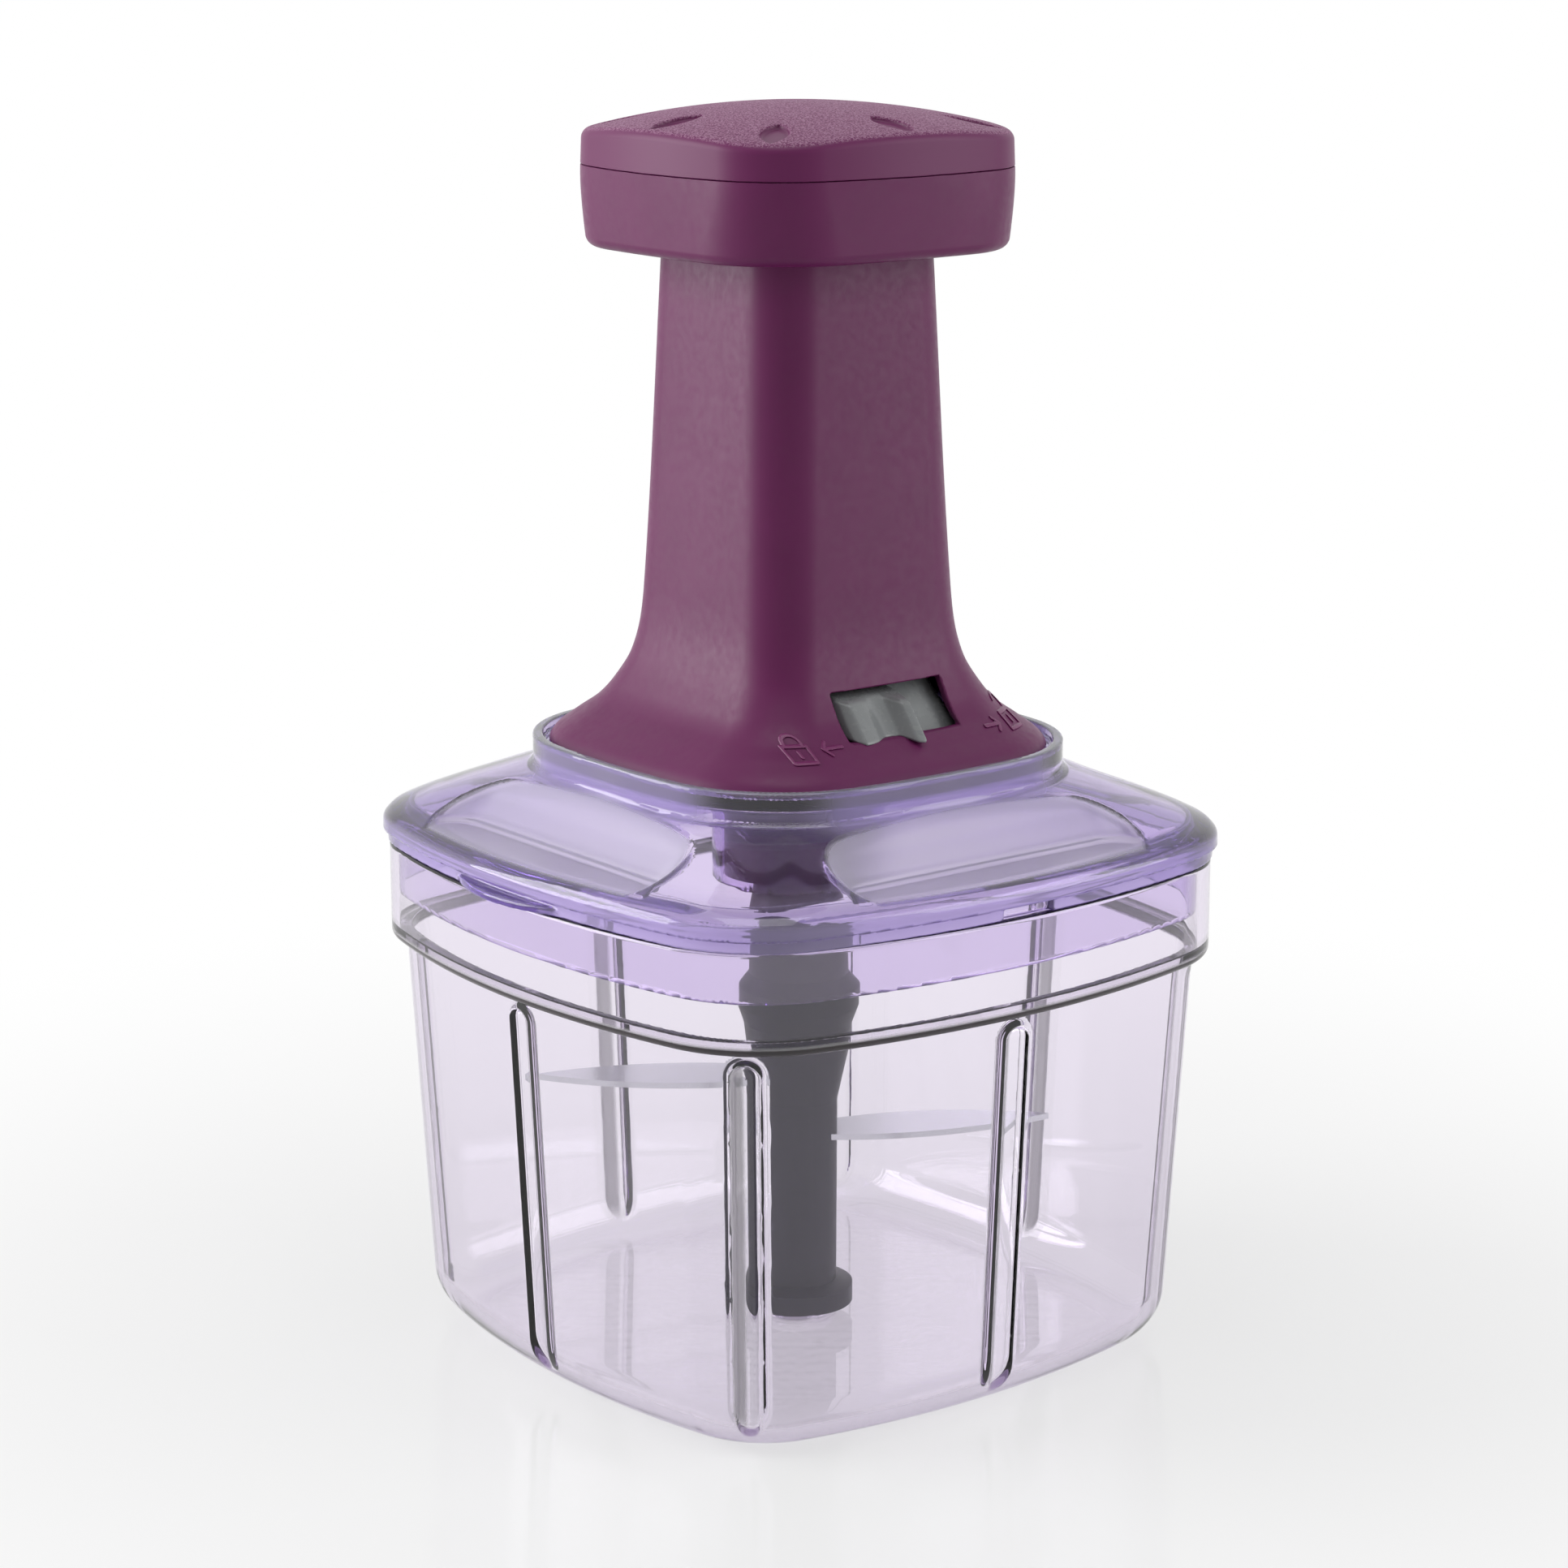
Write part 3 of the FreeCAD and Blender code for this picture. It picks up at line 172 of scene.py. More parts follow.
# Palm cap
CAP_BOTTOM_Z = 218.3
CAP_FLOOR_Z = 220.5
CAP_FLOOR = 2.2
CAP_SEAM_Z = 233.9
CAP_TOP_Z = 245.8
CAP_BOTTOM = (35.0, 226.0, 19.9)
CAP_SEAM = (36.4, 103.0, 18.3)
CAP_SHOULDER_HALF = 36.0
CAP_WALL = 2.4
CAP_DOME_R = 160.0
CAP_FOOT_ROUND = 2.0
CAP_EDGE_ROUND = 1.5
CAP_SEAM_ROUND = 0.15
CAP_SEAM_GAP = 0.05
CAP_GRAIN = (-0.5, -0.15)
STEM_HALF = 19.1
STEM_CORNER = 8.0

# Leaf-shaped reliefs on the cap: start and end of those towards the sides and towards the corners
SIDE_LEAF = (22.5, 34.3)
CORNER_LEAF = (27.5, 39.3)
LEAF_HALF_WIDTH = 2.7
LEAF_DEPTH = 0.9
LEAF_ROUND = 0.6

# Lock slider. Its plate reaches past the window at both ends, and over and under it.
SLIDER_TRAVEL = 8.0
SLIDER_THICKNESS = 1.6
SLIDER_ROOM = 0.3
PLATE_OVER_WINDOW = 0.8
PLATE_UNDER_WINDOW = 1.6
PLATE_PAST_WINDOW = 2.4
SLIDER_TOP_Y = -22.6
SLIDER_TOP_Z = 137.3
SLIDER_SLOPE = math.atan2(9.3, 7.5)

# Thumb grip: its heights out of the plate, each with the distance from its left end
KNOB_LEFT = -12.6
KNOB_HEIGHTS = (
    (0.0, 3.4), (2.2, 6.3), (5.0, 5.9), (8.4, 4.4), (10.6, 4.8), (12.9, 8.6), (14.2, 9.0), (15.6, 6.2),
)
KNOB_MARGIN = 0.5
KNOB_DROOP = 0.2
KNOB_ROUND = 0.9
KNOB_STEEPNESS = 0.8
KNOB_ROOT = 0.6
KNOB_ROOT_ROUND = 0.1

# Lock marks. Padlock: width, body height and shackle rise. Each mark has a name; its padlock's left, bottom
# and shackle's lean in degrees; its arrow's tail, tip and level; and its grid's left and right ends.
PADLOCK = (4.2, 2.5, 1.8)
SHACKLE_SHARE = 0.36
SHACKLE_STEPS = 8
KEYHOLE_SHARES = (0.35, 0.65)
ARROW_BARB = (1.1, 1.0)
MARKS = (
    ("marks_closed", (-27.2, 126.6, 0.0), (-16.0, -20.2, 128.4), (-30.0, -15.6)),
    ("marks_open", (25.2, 126.4, -38.0), (18.8, 22.8, 127.7), (16.4, 31.4)),
)
MARK_HALF_WIDTH = 0.27
MARK_RISE = 0.25
MARK_ROUND = 0.12

# Surroundings, in metres. Each lamp has a name, an azimuth in degrees, a distance, a height, a size and a
# power; the azimuths are set off from the camera's.
CAMERA_SIDE = -38
WORLD_STRENGTH = 0.08
FLOOR_HALF_MM = 4000.0
FLOOR_GREY = (0.8, 0.8, 0.8)
FLOOR_ROUGHNESS = 0.12
FLOOR_GLOW_NEAR = 0.64
FLOOR_GLOW_REACH = (0.07, 0.34)
LAMP_AIM_Z = 0.13
LAMPS = (
    ("soft_left", CAMERA_SIDE - 91, 1.3, 0.42, (0.9, 1.3), 21),
    ("soft_right", CAMERA_SIDE + 80, 1.3, 0.42, (0.9, 1.3), 10),
    ("soft_top", CAMERA_SIDE, 0.2, 1.5, (0.9, 0.9), 6),
)

# Colours
PURPLE = (0.140, 0.013, 0.090)
# Lighter than the tower's purple: a painted highlight on the raised marks, which are moulded in the tower's
# own purple
MARK_HIGHLIGHT_PURPLE = (0.200, 0.024, 0.128)
DARK_PURPLE = (0.026, 0.003, 0.040)
# Partly the slider's own light grey, partly painted light that lifts the plate out of the wall's shadow
SLIDER_LIT_GREY = (0.26, 0.275, 0.28)
STEM_GREY = (0.20, 0.21, 0.22)
SPINDLE_GREY = (0.024, 0.020, 0.036)
NYLON = (0.78, 0.78, 0.76)
STEEL = (0.62, 0.62, 0.63)
BLADE_STEEL = (0.66, 0.67, 0.69)
WHITE = (1, 1, 1)
BOWL_TINT = (0.45, 0.25, 0.62)
# Painted shade: near-black for the bowl's dark lines
BOWL_PAINTED_SHADE = (0.022, 0.014, 0.018)
LID_TINT = (0.30, 0.06, 0.68)
LID_BODY = (0.89, 0.82, 0.97)
# Painted light: lilac for the lid's round edge, outer band and neck wall
LID_EDGE_LIGHT = (0.54, 0.44, 0.82)
# Painted shade: deep violet under the thumb tab and the flange's edge
LID_PAINTED_SHADE = (0.16, 0.08, 0.42)
# Painted reflection: grey for the neck's rim
LID_RIM_REFLECTION = (0.33, 0.35, 0.36)
LID_FROST = (0.80, 0.75, 0.92)

# Finishes: sizes and depths in millimetres, and how far each noise goes
NOISE_MIDDLE = (0.3, 0.7)
PATCH_SIZE = 9.0
PATCH_DARKEST = 0.93
MOTTLE_SIZE = 1.6
MOTTLE_REACH = 0.05
SPECK_SIZE = 0.34
SPECK_NOISE = (0.42, 0.60)
# The cap's specks are lighter: partly the grain itself, partly a painted sheen that lifts their colour
SPECK_SHEEN_GAIN = 1.5
SPECK_SHEEN_LIFT = 0.16
SPECK_ROUGHER = 0.12
SPECK_DEPTH = 0.04
SCRATCH_SIZE = 0.3
SCRATCH_SPREAD = (0.7, 1.3)
SCRATCH_DEPTH = 0.003

# Clear plastics: density of the tint, index of refraction, and how rough and how clear the parts are
BOWL_DENSITY = 62.0
BOWL_IOR = 1.51
# How clear the bowl's painted shade leaves the plastic
BOWL_PAINTED_SHADE_CLEARNESS = 0.08
BOWL_SMEAR_SIZE = 6.0
BOWL_SMEAR_NOISE = (0.4, 0.8)
BOWL_SMEAR_ROUGHNESS = 0.03
LID_DENSITY = 100.0
LID_IOR = 1.49
LID_ROUGHNESS = 0.01
FROST_ROUGHNESS = 0.34
FROST_CLEARNESS = 0.55
LID_BODY_CLEARNESS = 0.98
# How clear the lid's painted light leaves the plastic
LID_EDGE_LIGHT_CLEARNESS = 0.5
# How clear the lid's painted shade and painted reflection leave the plastic
LID_SHADE_AND_REFLECTION_CLEARNESS = 0.4


# Fields: each gives about the distance in millimetres to a surface, below zero inside the shape.

def outline_centre(half, side_r, corner_r):
    """Distance along X and Y of a corner arc's centre, tangent to both side arcs."""
    k = side_r - half
    return (np.sqrt(2 * (side_r - corner_r) ** 2 - k * k) - k) / 2


def square(x, y, half, side_r, corner_r):
    """Square outline with bowed sides and round corners."""
    u = np.maximum(np.abs(x), np.abs(y))
    v = np.minimum(np.abs(x), np.abs(y))
    k = side_r - half
    c = outline_centre(half, side_r, corner_r)
    side = np.hypot(u + k, v) - side_r
    corner = np.hypot(u - c, v - c) - corner_r
    return np.where(v * (c + k) > c * (u + k), corner, side)


def inset(outline, depth):
    return tuple(value - depth for value in outline)


def both(a, b, radius):
    """What lies in both shapes, with the edge between them rounded."""
    a, b = a + radius, b + radius
    return np.hypot(np.maximum(a, 0), np.maximum(b, 0)) + np.minimum(np.maximum(a, b), 0) - radius


def either(a, b, radius):
    """Two shapes joined, with a hollow round between them."""
    return -both(-a, -b, radius)


def between(z, z0, z1):
    return np.maximum(z0 - z, z - z1)


def prism(x, y, z, outline, z0, z1, edge):
    return both(square(x, y, *outline), between(z, z0, z1), edge)


def disc(x, y, z, radius, z0, z1, edge):
    return both(np.hypot(x, y) - radius, between(z, z0, z1), edge)


def slab(x, y, z, low, high, edge):
    """Box with rounded edges."""
    a = both(between(x, low[0], high[0]), between(y, low[1], high[1]), edge)
    return both(a, between(z, low[2], high[2]), edge)


def curve(at, stations, values):
    """Smooth curve through values at rising stations, held level past both ends."""
    stations = np.asarray(stations, float)
    values = np.asarray(values, float)
    steps = np.diff(stations)
    rises = np.diff(values) / steps
    slopes = np.zeros_like(values)
    same = rises[:-1] * rises[1:] > 0
    safe = np.where(same, rises[:-1] + rises[1:], 1.0)
    slopes[1:-1] = np.where(same, 2 * rises[:-1] * rises[1:] / safe, 0)
    slopes[0], slopes[-1] = rises[0], rises[-1]
    at = np.clip(at, stations[0], stations[-1])
    place = np.clip(np.searchsorted(stations, at) - 1, 0, len(steps) - 1)
    h = steps[place]
    t = (at - stations[place]) / h
    low, high = values[place], values[place + 1]
    return (low * (1 + 2 * t) * (1 - t) ** 2 + high * t * t * (3 - 2 * t)
            + h * (slopes[place] * t * (1 - t) ** 2 - slopes[place + 1] * t * t * (1 - t)))


def turned(x, y):
    """X and Y turned by 45 degrees."""
    return (x + y) / ROOT_TWO, (x - y) / ROOT_TWO


# Meshes from fields

def surface_net(field, axes):
    """Closed mesh of a field's zero surface: one vertex in each grid cell that the surface crosses."""
    xs, ys, zs = axes
    values = field(xs[:, None, None], ys[None, :, None], zs[None, None, :])
    values = np.broadcast_to(values, (len(xs), len(ys), len(zs))).astype(np.float32)
    inside = values < 0
    cells = tuple(n - 1 for n in values.shape)
    sums = np.zeros((4, cells[0] * cells[1] * cells[2]))
    quads = []
    for axis in range(3):
        low = [slice(None)] * 3
        high = [slice(None)] * 3
        low[axis], high[axis] = slice(None, -1), slice(1, None)
        edge = np.argwhere(inside[tuple(low)] != inside[tuple(high)])
        step = np.zeros(3, int)
        step[axis] = 1
        a = values[tuple(edge.T)]
        b = values[tuple((edge + step).T)]
        share = (a / (a - b)).astype(float)
        points = [axes[n][edge[:, n]] for n in range(3)]
        points[axis] = points[axis] + share * (axes[axis][edge[:, axis] + 1] - points[axis])
        others = [n for n in range(3) if n != axis]
        ring = []
        for du, dv in ((-1, -1), (0, -1), (0, 0), (-1, 0)):
            cell = edge.copy()
            cell[:, others[0]] += du
            cell[:, others[1]] += dv
            flat = np.ravel_multi_index(tuple(cell.T), cells)
            ring.append(flat)
            for n in range(3):
                sums[n] += np.bincount(flat, points[n], sums.shape[1])
            sums[3] += np.bincount(flat, minlength=sums.shape[1])
        ring = np.stack(ring, 1)
        flip = (a < 0) == (axis == 1)
        ring[flip] = ring[flip][:, ::-1]
        quads.append(ring)
    used = np.flatnonzero(sums[3])
    number = np.full(sums.shape[1], -1)
    number[used] = np.arange(len(used))
    vertices = (sums[:3, used] / sums[3, used]).T
    return settle(field, vertices), number[np.concatenate(quads)]


def slope_of(field, p, reach=0.01):
    """Value and gradient of a field at points."""
    value = field(p[:, 0], p[:, 1], p[:, 2])
    gradient = []
    for n in range(3):
        moved = p.copy()
        moved[:, n] += reach
        gradient.append((field(moved[:, 0], moved[:, 1], moved[:, 2]) - value) / reach)
    return value, np.stack(gradient, 1)


def settle(field, p, rounds=3, limit=0.5):
    """Moves points onto a field's zero surface."""
    for _ in range(rounds):
        value, gradient = slope_of(field, p)
        push = gradient * (value / np.maximum((gradient ** 2).sum(1), LEAST_STEEPNESS))[:, None]
        length = np.linalg.norm(push, axis=1)[:, None]
        p = p - push * np.minimum(1, limit / np.maximum(length, TINY))
    return p


def spans(*stretches):
    """Grid stations along stretches of (start, end, step)."""
    stations = []
    for start, end, step in stretches:
        count = max(1, round((end - start) / step))
        stations.extend(start + (end - start) * n / count for n in range(count))
    stations.append(stretches[-1][1])
    return np.array(stations)


def mirrored(*stretches):
    """Grid stations along stretches from 0 outwards, on both sides of 0."""
    right = spans(*stretches)
    return np.concatenate([-right[:0:-1], right])


def mesh_object(name, vertices, faces):
    mesh = bpy.data.meshes.new(name)
    mesh.from_pydata((np.asarray(vertices) * MM).tolist(), [], np.asarray(faces).tolist())
    mesh.polygons.foreach_set("use_smooth", [True] * len(mesh.polygons))
    piece = bpy.data.objects.new(name, mesh)
    bpy.context.scene.collection.objects.link(piece)
    return piece


def field_object(name, field, axes):
    """Mesh of a field, shaded with the field's own slope."""
    vertices, faces = surface_net(field, axes)
    piece = mesh_object(name, vertices, faces)
    normals = slope_of(field, vertices)[1]
    normals /= np.maximum(np.linalg.norm(normals, axis=1), TINY)[:, None]
    piece.data.normals_split_custom_set_from_vertices(normals.tolist())
    return piece


def install(piece, node, body, material):
    """Puts a piece in a CAD node's place."""
    piece.data.materials.append(material)
    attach(piece, body)
    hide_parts(node)


def places_of(piece):
    """X, Y and Z of a piece's vertices, in millimetres."""
    places = np.zeros(len(piece.data.vertices) * 3)
    piece.data.vertices.foreach_get("co", places)
    return (places.reshape(-1, 3) / MM).T


def paint(piece, name, share):
    """Keeps a share from 0 to 1 at each vertex, for the materials to read."""
    layer = piece.data.attributes.new(name, "FLOAT", "POINT")
    layer.data.foreach_set("value", np.clip(share, 0, 1).astype(np.float32))


def ramp(value, low, high):
    """0 below low, 1 above high and a smooth step between."""
    t = np.clip((value - low) / (high - low), 0, 1)
    return t * t * (3 - 2 * t)


# Bowl

def bowl_half(z):
    return BOWL_FOOT_HALF + (BOWL_TOP_HALF - BOWL_FOOT_HALF) * z / BAND_BOTTOM_Z


def bowl_walls(x, y, z, depth, floor_z, top_z, edge):
    flat = square(x, y, bowl_half(z) - depth, BOWL_SIDE_R - depth, BOWL_CORNER_R - depth)
    return both(both(flat, floor_z - z, edge), z - top_z, FINE_ROUND)


def flutes(x, y, z, radius):
    """Round-topped bars along the slanted wall, one at each side's and each corner's middle."""
    over = np.maximum(z - FLUTE_TOP_Z + FLUTE_R, 0)
    half = bowl_half(z)
    corner = outline_centre(half, BOWL_SIDE_R, BOWL_CORNER_R) * ROOT_TWO + BOWL_CORNER_R
    found = []
    for (p, q), reach in (((x, y), half), (turned(x, y), corner)):
        out = np.maximum(np.abs(p), np.abs(q)) - reach - FLUTE_PROUD
        along = np.minimum(np.abs(p), np.abs(q))
        found.append(np.sqrt(out ** 2 + along ** 2 + over ** 2) - radius)
    return np.minimum(*found)


def bowl(x, y, z):
    outer = bowl_walls(x, y, z, 0.0, 0.0, BAND_BOTTOM_Z + BAND_WALL, BOWL_FOOT_ROUND)
    band = both(both(square(x, y, *BAND), BAND_BOTTOM_Z - z, BAND_ROUND), z - RIM_Z, RIM_ROUND)
    inner = bowl_walls(x, y, z, BOWL_WALL, BOWL_FLOOR, LEDGE_Z + BAND_WALL, BOWL_FOOT_ROUND - BOWL_WALL)
    band_inner = prism(x, y, z, inset(BAND, BAND_WALL), LEDGE_Z, RIM_Z + 2 * BAND_WALL, SOFT_ROUND)
    bulges = both(flutes(x, y, z, FLUTE_R + FLUTE_WALL), outer, FINE_ROUND)
    inner = both(inner, -bulges, FLUTE_INNER_ROUND)
    hollow = either(inner, band_inner, EDGE_ROUND)
    body = both(either(outer, band, SOFT_ROUND), -hollow, RIM_INNER_ROUND)
    body = both(body, -flutes(x, y, z, FLUTE_R), FLUTE_EDGE_ROUND)
    boss = disc(x, y, z, PIN_BOSS_R, BOWL_FLOOR - OVERLAP, PIN_BOSS_TOP_Z, SOFT_ROUND)
    hole = disc(x, y, z, PIN_R, PIN_HOLE_Z, PIN_BOSS_TOP_Z + 3 * OVERLAP, PIN_HOLE_ROUND)
    return both(either(body, boss, PIN_BOSS_ROUND), -hole, FINE_ROUND)


def painted_shade_lines(x, y, z):
    """Painted shade on the bowl: dark at the step's round edge and on one flank of each flute, where
    refraction makes the clear plastic look dark.
    """
    step = ramp(square(x, y, *BAND), *STEP_SHADE_OUT) * (1 - ramp(z, *STEP_SHADE_TOP_Z))
    step = step * ramp(z, *STEP_SHADE_FOOT_Z)
    heading = np.round(np.arctan2(y, x) / EIGHTH_TURN) * EIGHTH_TURN
    along_x, along_y = -np.sin(heading), np.cos(heading)
    offset = x * along_x + y * along_y
    flank = offset * np.sign(-along_x - FLUTE_SHADE_TURN * along_y)
    groove = 1 - ramp(np.abs(flutes(x, y, z, FLUTE_R)), *FLUTE_SHADE_DEPTH)
    flute_shade = FLUTE_SHADE_SHARE * groove * ramp(flank, *FLUTE_SHADE_ACROSS) * ramp(z, *FLUTE_SHADE_FOOT_Z)
    return np.maximum(step, flute_shade)


def make_bowl(material):
    across = mirrored((0, 6.4, 0.4), (6.4, 40, 1.6), (40, 54.4, 0.45), (54.4, 72.4, 0.6))
    up = spans((-1.2, 4, 0.5), (4, 14, 0.8), (14, 72, 2.4), (72, 78, 0.6), (78, 86, 0.4), (86, 98, 1.5),
               (98, 101.8, 0.4))
    piece = field_object("bowl_shell", bowl, (across, across, up))
    install(piece, "bowl", "bowl_body", material)
    # Paints shade into the bowl: dark lines at the step and along the flutes
    paint(piece, "painted_shade_line", painted_shade_lines(*places_of(piece)))


# Lid

def dome(x, y, z, depth, drop):
    rise = z + drop - FLANGE_Z
    half = curve(rise, DOME_RISES, DOME_HALVES)
    slope = (curve(rise + SLOPE_STEP, DOME_RISES, DOME_HALVES) - half) / SLOPE_STEP
    share = np.clip(rise / DOME_RISES[-1], 0, 1)
    side = FLANGE[1] + (NECK[1] - FLANGE[1]) * share
    corner = FLANGE[2] + (NECK[2] - FLANGE[2]) * share
    flat = square(x, y, half - depth, side - depth, corner - depth) / np.sqrt(1 + slope ** 2)
    return both(flat, between(z, FLANGE_Z, FLANGE_Z + DOME_RISES[-1] - drop), EDGE_ROUND)


def scoops(x, y, z, grow):
    rise = z - SCOOP_FLOOR_Z
    reach = curve(rise, SCOOP_RISES, SCOOP_REACHES)
    half = curve(rise, SCOOP_RISES, SCOOP_HALVES)
    corner = curve(rise, SCOOP_RISES, SCOOP_CORNERS)
    out = np.maximum(np.abs(x), np.abs(y))
    along = np.minimum(np.abs(x), np.abs(y))
    tub = both(along - half, reach - out, corner)
    return both(tub - grow, SCOOP_FLOOR_Z - grow - z, SCOOP_FOOT_ROUND)


def thumb_tab(x, y, z):
    rise = TAB_TIP - TAB_ROOT
    radius = (TAB_HALF_LENGTH ** 2 + rise ** 2) / (2 * rise)
    flat = np.maximum(np.hypot(x + TAB_TIP - radius, y) - radius, x + TAB_ROOT)
    return both(flat, between(z, *TAB_LEVELS), SOFT_ROUND)


def lid(x, y, z):
    neck_foot = FLANGE_Z + DOME_RISES[-1] - LID_WALL
    skirt = inset(BAND, SKIRT_INSET)
    inside = inset(skirt, LID_WALL)
    neck_inside = inset(NECK, LID_WALL)
    neck = prism(x, y, z, NECK, neck_foot, NECK_RIM_Z, SOFT_ROUND)
    outer = either(dome(x, y, z, 0.0, 0.0), neck, NECK_FOOT_ROUND)
    outer = both(outer, -scoops(x, y, z, 0.0), WIDE_ROUND)
    strip = prism(x, y, z, inset(FLANGE, STRIP_INSET), RIM_Z, FLANGE_Z + OVERLAP / 2, EDGE_ROUND)
    low, high = (-NOTCH_HALF, NOTCH_Y[0], RIM_Z - OVERLAP), (NOTCH_HALF, NOTCH_Y[1], FLANGE_Z)
    notch = slab(x, y, z, low, high, FINE_ROUND)
    outer = np.minimum(outer, both(strip, -notch, FINE_ROUND))
    outer = np.minimum(outer, prism(x, y, z, skirt, SKIRT_BOTTOM_Z, RIM_Z + OVERLAP, SKIRT_ROUND))
    outer = either(outer, thumb_tab(x, y, z), FINE_ROUND)
    under = both(dome(x, y, z, LID_WALL, LID_WALL / 2), square(x, y, *inside), WIDE_ROUND)
    hollow = prism(x, y, z, inside, SKIRT_BOTTOM_Z - LID_WALL, FLANGE_Z + OVERLAP, FINE_ROUND)
    hollow = np.minimum(hollow, under)
    neck_hollow = prism(x, y, z, neck_inside, neck_foot - LID_WALL, TRAY_Z - LID_WALL, SKIRT_ROUND)
    hollow = either(hollow, neck_hollow, WIDE_ROUND)
    hollow = both(hollow, -scoops(x, y, z, LID_WALL), WIDE_ROUND)
    body = both(outer, -hollow, EDGE_ROUND)
    tray = prism(x, y, z, neck_inside, TRAY_Z, NECK_RIM_Z + LID_WALL, EDGE_ROUND)
    body = both(body, -tray, EDGE_ROUND)
    collar = disc(x, y, z, COLLAR_BORE_R + LID_WALL, COLLAR_BOTTOM_Z, TRAY_Z - LID_WALL / 2, SOFT_ROUND)
    return both(either(body, collar, SOFT_ROUND), COLLAR_BORE_R - np.hypot(x, y), EDGE_ROUND)


def make_lid(material):
    across = mirrored((0, 14.4, 0.9), (14.4, 31.2, 1.05), (31.2, 75.2, 0.68))
    up = spans((88.8, 92, 0.6), (92, 98.8, 1.0), (98.8, 124.4, 0.55))
    piece = field_object("lid_shell", lid, (across, across, up))
    install(piece, "lid", "lid_unit", material)
    x, y, z = places_of(piece)
    paint(piece, "frost", 1 - ramp(np.abs(scoops(x, y, z, 0.0)), *FROST_OUT))
    # The edge attribute is painted light: lilac on the round edge, the outer band and the neck wall, less
    # towards the neck's corners
    outside = square(x, y, *FLANGE)
    round_edge_light = ramp(outside, *EDGE_LIGHT_OUT) * ramp(z, *EDGE_LIGHT_FOOT_Z) * (1 - ramp(z, *EDGE_LIGHT_TOP_Z))
    corner = ramp(np.minimum(np.abs(x), np.abs(y)), *NECK_LIGHT_CORNER)
    neck = ramp(z, *NECK_LIGHT_Z) * (NECK_LIGHT_SHARE - NECK_LIGHT_CORNER_LESS * corner)
    ring = RING_LIGHT_SHARE * ramp(outside, *RING_LIGHT_OUT) * ramp(z, *RING_LIGHT_Z)
    paint(piece, "edge", np.maximum(np.maximum(EDGE_LIGHT_SHARE * round_edge_light, ring), neck))
    # Painted shade under the thumb tab and under the flange's edge
    shade_under_tab = ramp(outside, *SHADE_UNDER_TAB_OUT) * (1 - ramp(z, *SHADE_UNDER_TAB_TOP_Z))
    shade_under_edge = ramp(outside, *SHADE_UNDER_EDGE_OUT) * (1 - ramp(z, *SHADE_UNDER_EDGE_TOP_Z))
    shade_under_edge = shade_under_edge * ramp(z, *SHADE_UNDER_EDGE_FOOT_Z)
    paint(piece, "painted_shade_under_edge", np.maximum(shade_under_tab, SHADE_UNDER_EDGE_SHARE * shade_under_edge))
    # Painted reflection along the neck's rim
    paint(piece, "rim_reflection", ramp(z, *RIM_REFLECTION_Z) * ramp(square(x, y, *NECK), *RIM_REFLECTION_OUT))


# Tower

def tower_body(x, y, z, depth):
    half = curve(z, TOWER_LEVELS, TOWER_HALVES) - depth
    corner = curve(z, TOWER_LEVELS, TOWER_CORNERS) - depth
    slope = (curve(z + SLOPE_STEP, TOWER_LEVELS, TOWER_HALVES) - depth - half) / SLOPE_STEP
    return square(x, y, half, TOWER_SIDE_R - depth, corner) / np.sqrt(1 + slope ** 2)


def tower(x, y, z):
    outer = both(tower_body(x, y, z, 0.0), between(z, TRAY_Z, TOWER_LEVELS[-1]), WIDE_ROUND)
    shell = both(outer, -tower_body(x, y, z, TOWER_SKIN), EDGE_ROUND)
    low = (-WINDOW_HALF, WINDOW_Y[0], WINDOW_BOTTOM_Z)
    high = (WINDOW_HALF, WINDOW_Y[1], WINDOW_TOP_Z)
    return both(shell, -slab(x, y, z, low, high, SOFT_ROUND), WINDOW_ROUND)


def make_tower(material):
    wide = mirrored((0, 12, 1.2), (12, 15, 0.4), (15, 44.8, 0.6))
    deep = mirrored((0, 18, 1.5), (18, 44.8, 0.6))
    up = spans((119.9, 127.2, 0.5), (127.2, 138.4, 0.4), (138.4, 154, 1.0), (154, 218, 4.0),
               (218, 221.4, 0.4))
    piece = field_object("tower_skin", tower, (wide, deep, up))
    install(piece, "tower_shell", "lid_unit", material)


# Lock marks: raised strokes on the tower's foot, as the padlocks and arrows beside the slider

def stroke(x, z, *points):
    """Distance in the X-Z plane to a line through points."""
    nearest = None
    for (x0, z0), (x1, z1) in zip(points[:-1], points[1:]):
        length = (x1 - x0) ** 2 + (z1 - z0) ** 2
        share = np.clip(((x - x0) * (x1 - x0) + (z - z0) * (z1 - z0)) / length, 0, 1)
        gap = np.hypot(x - x0 - share * (x1 - x0), z - z0 - share * (z1 - z0))
        nearest = gap if nearest is None else np.minimum(nearest, gap)
    return nearest


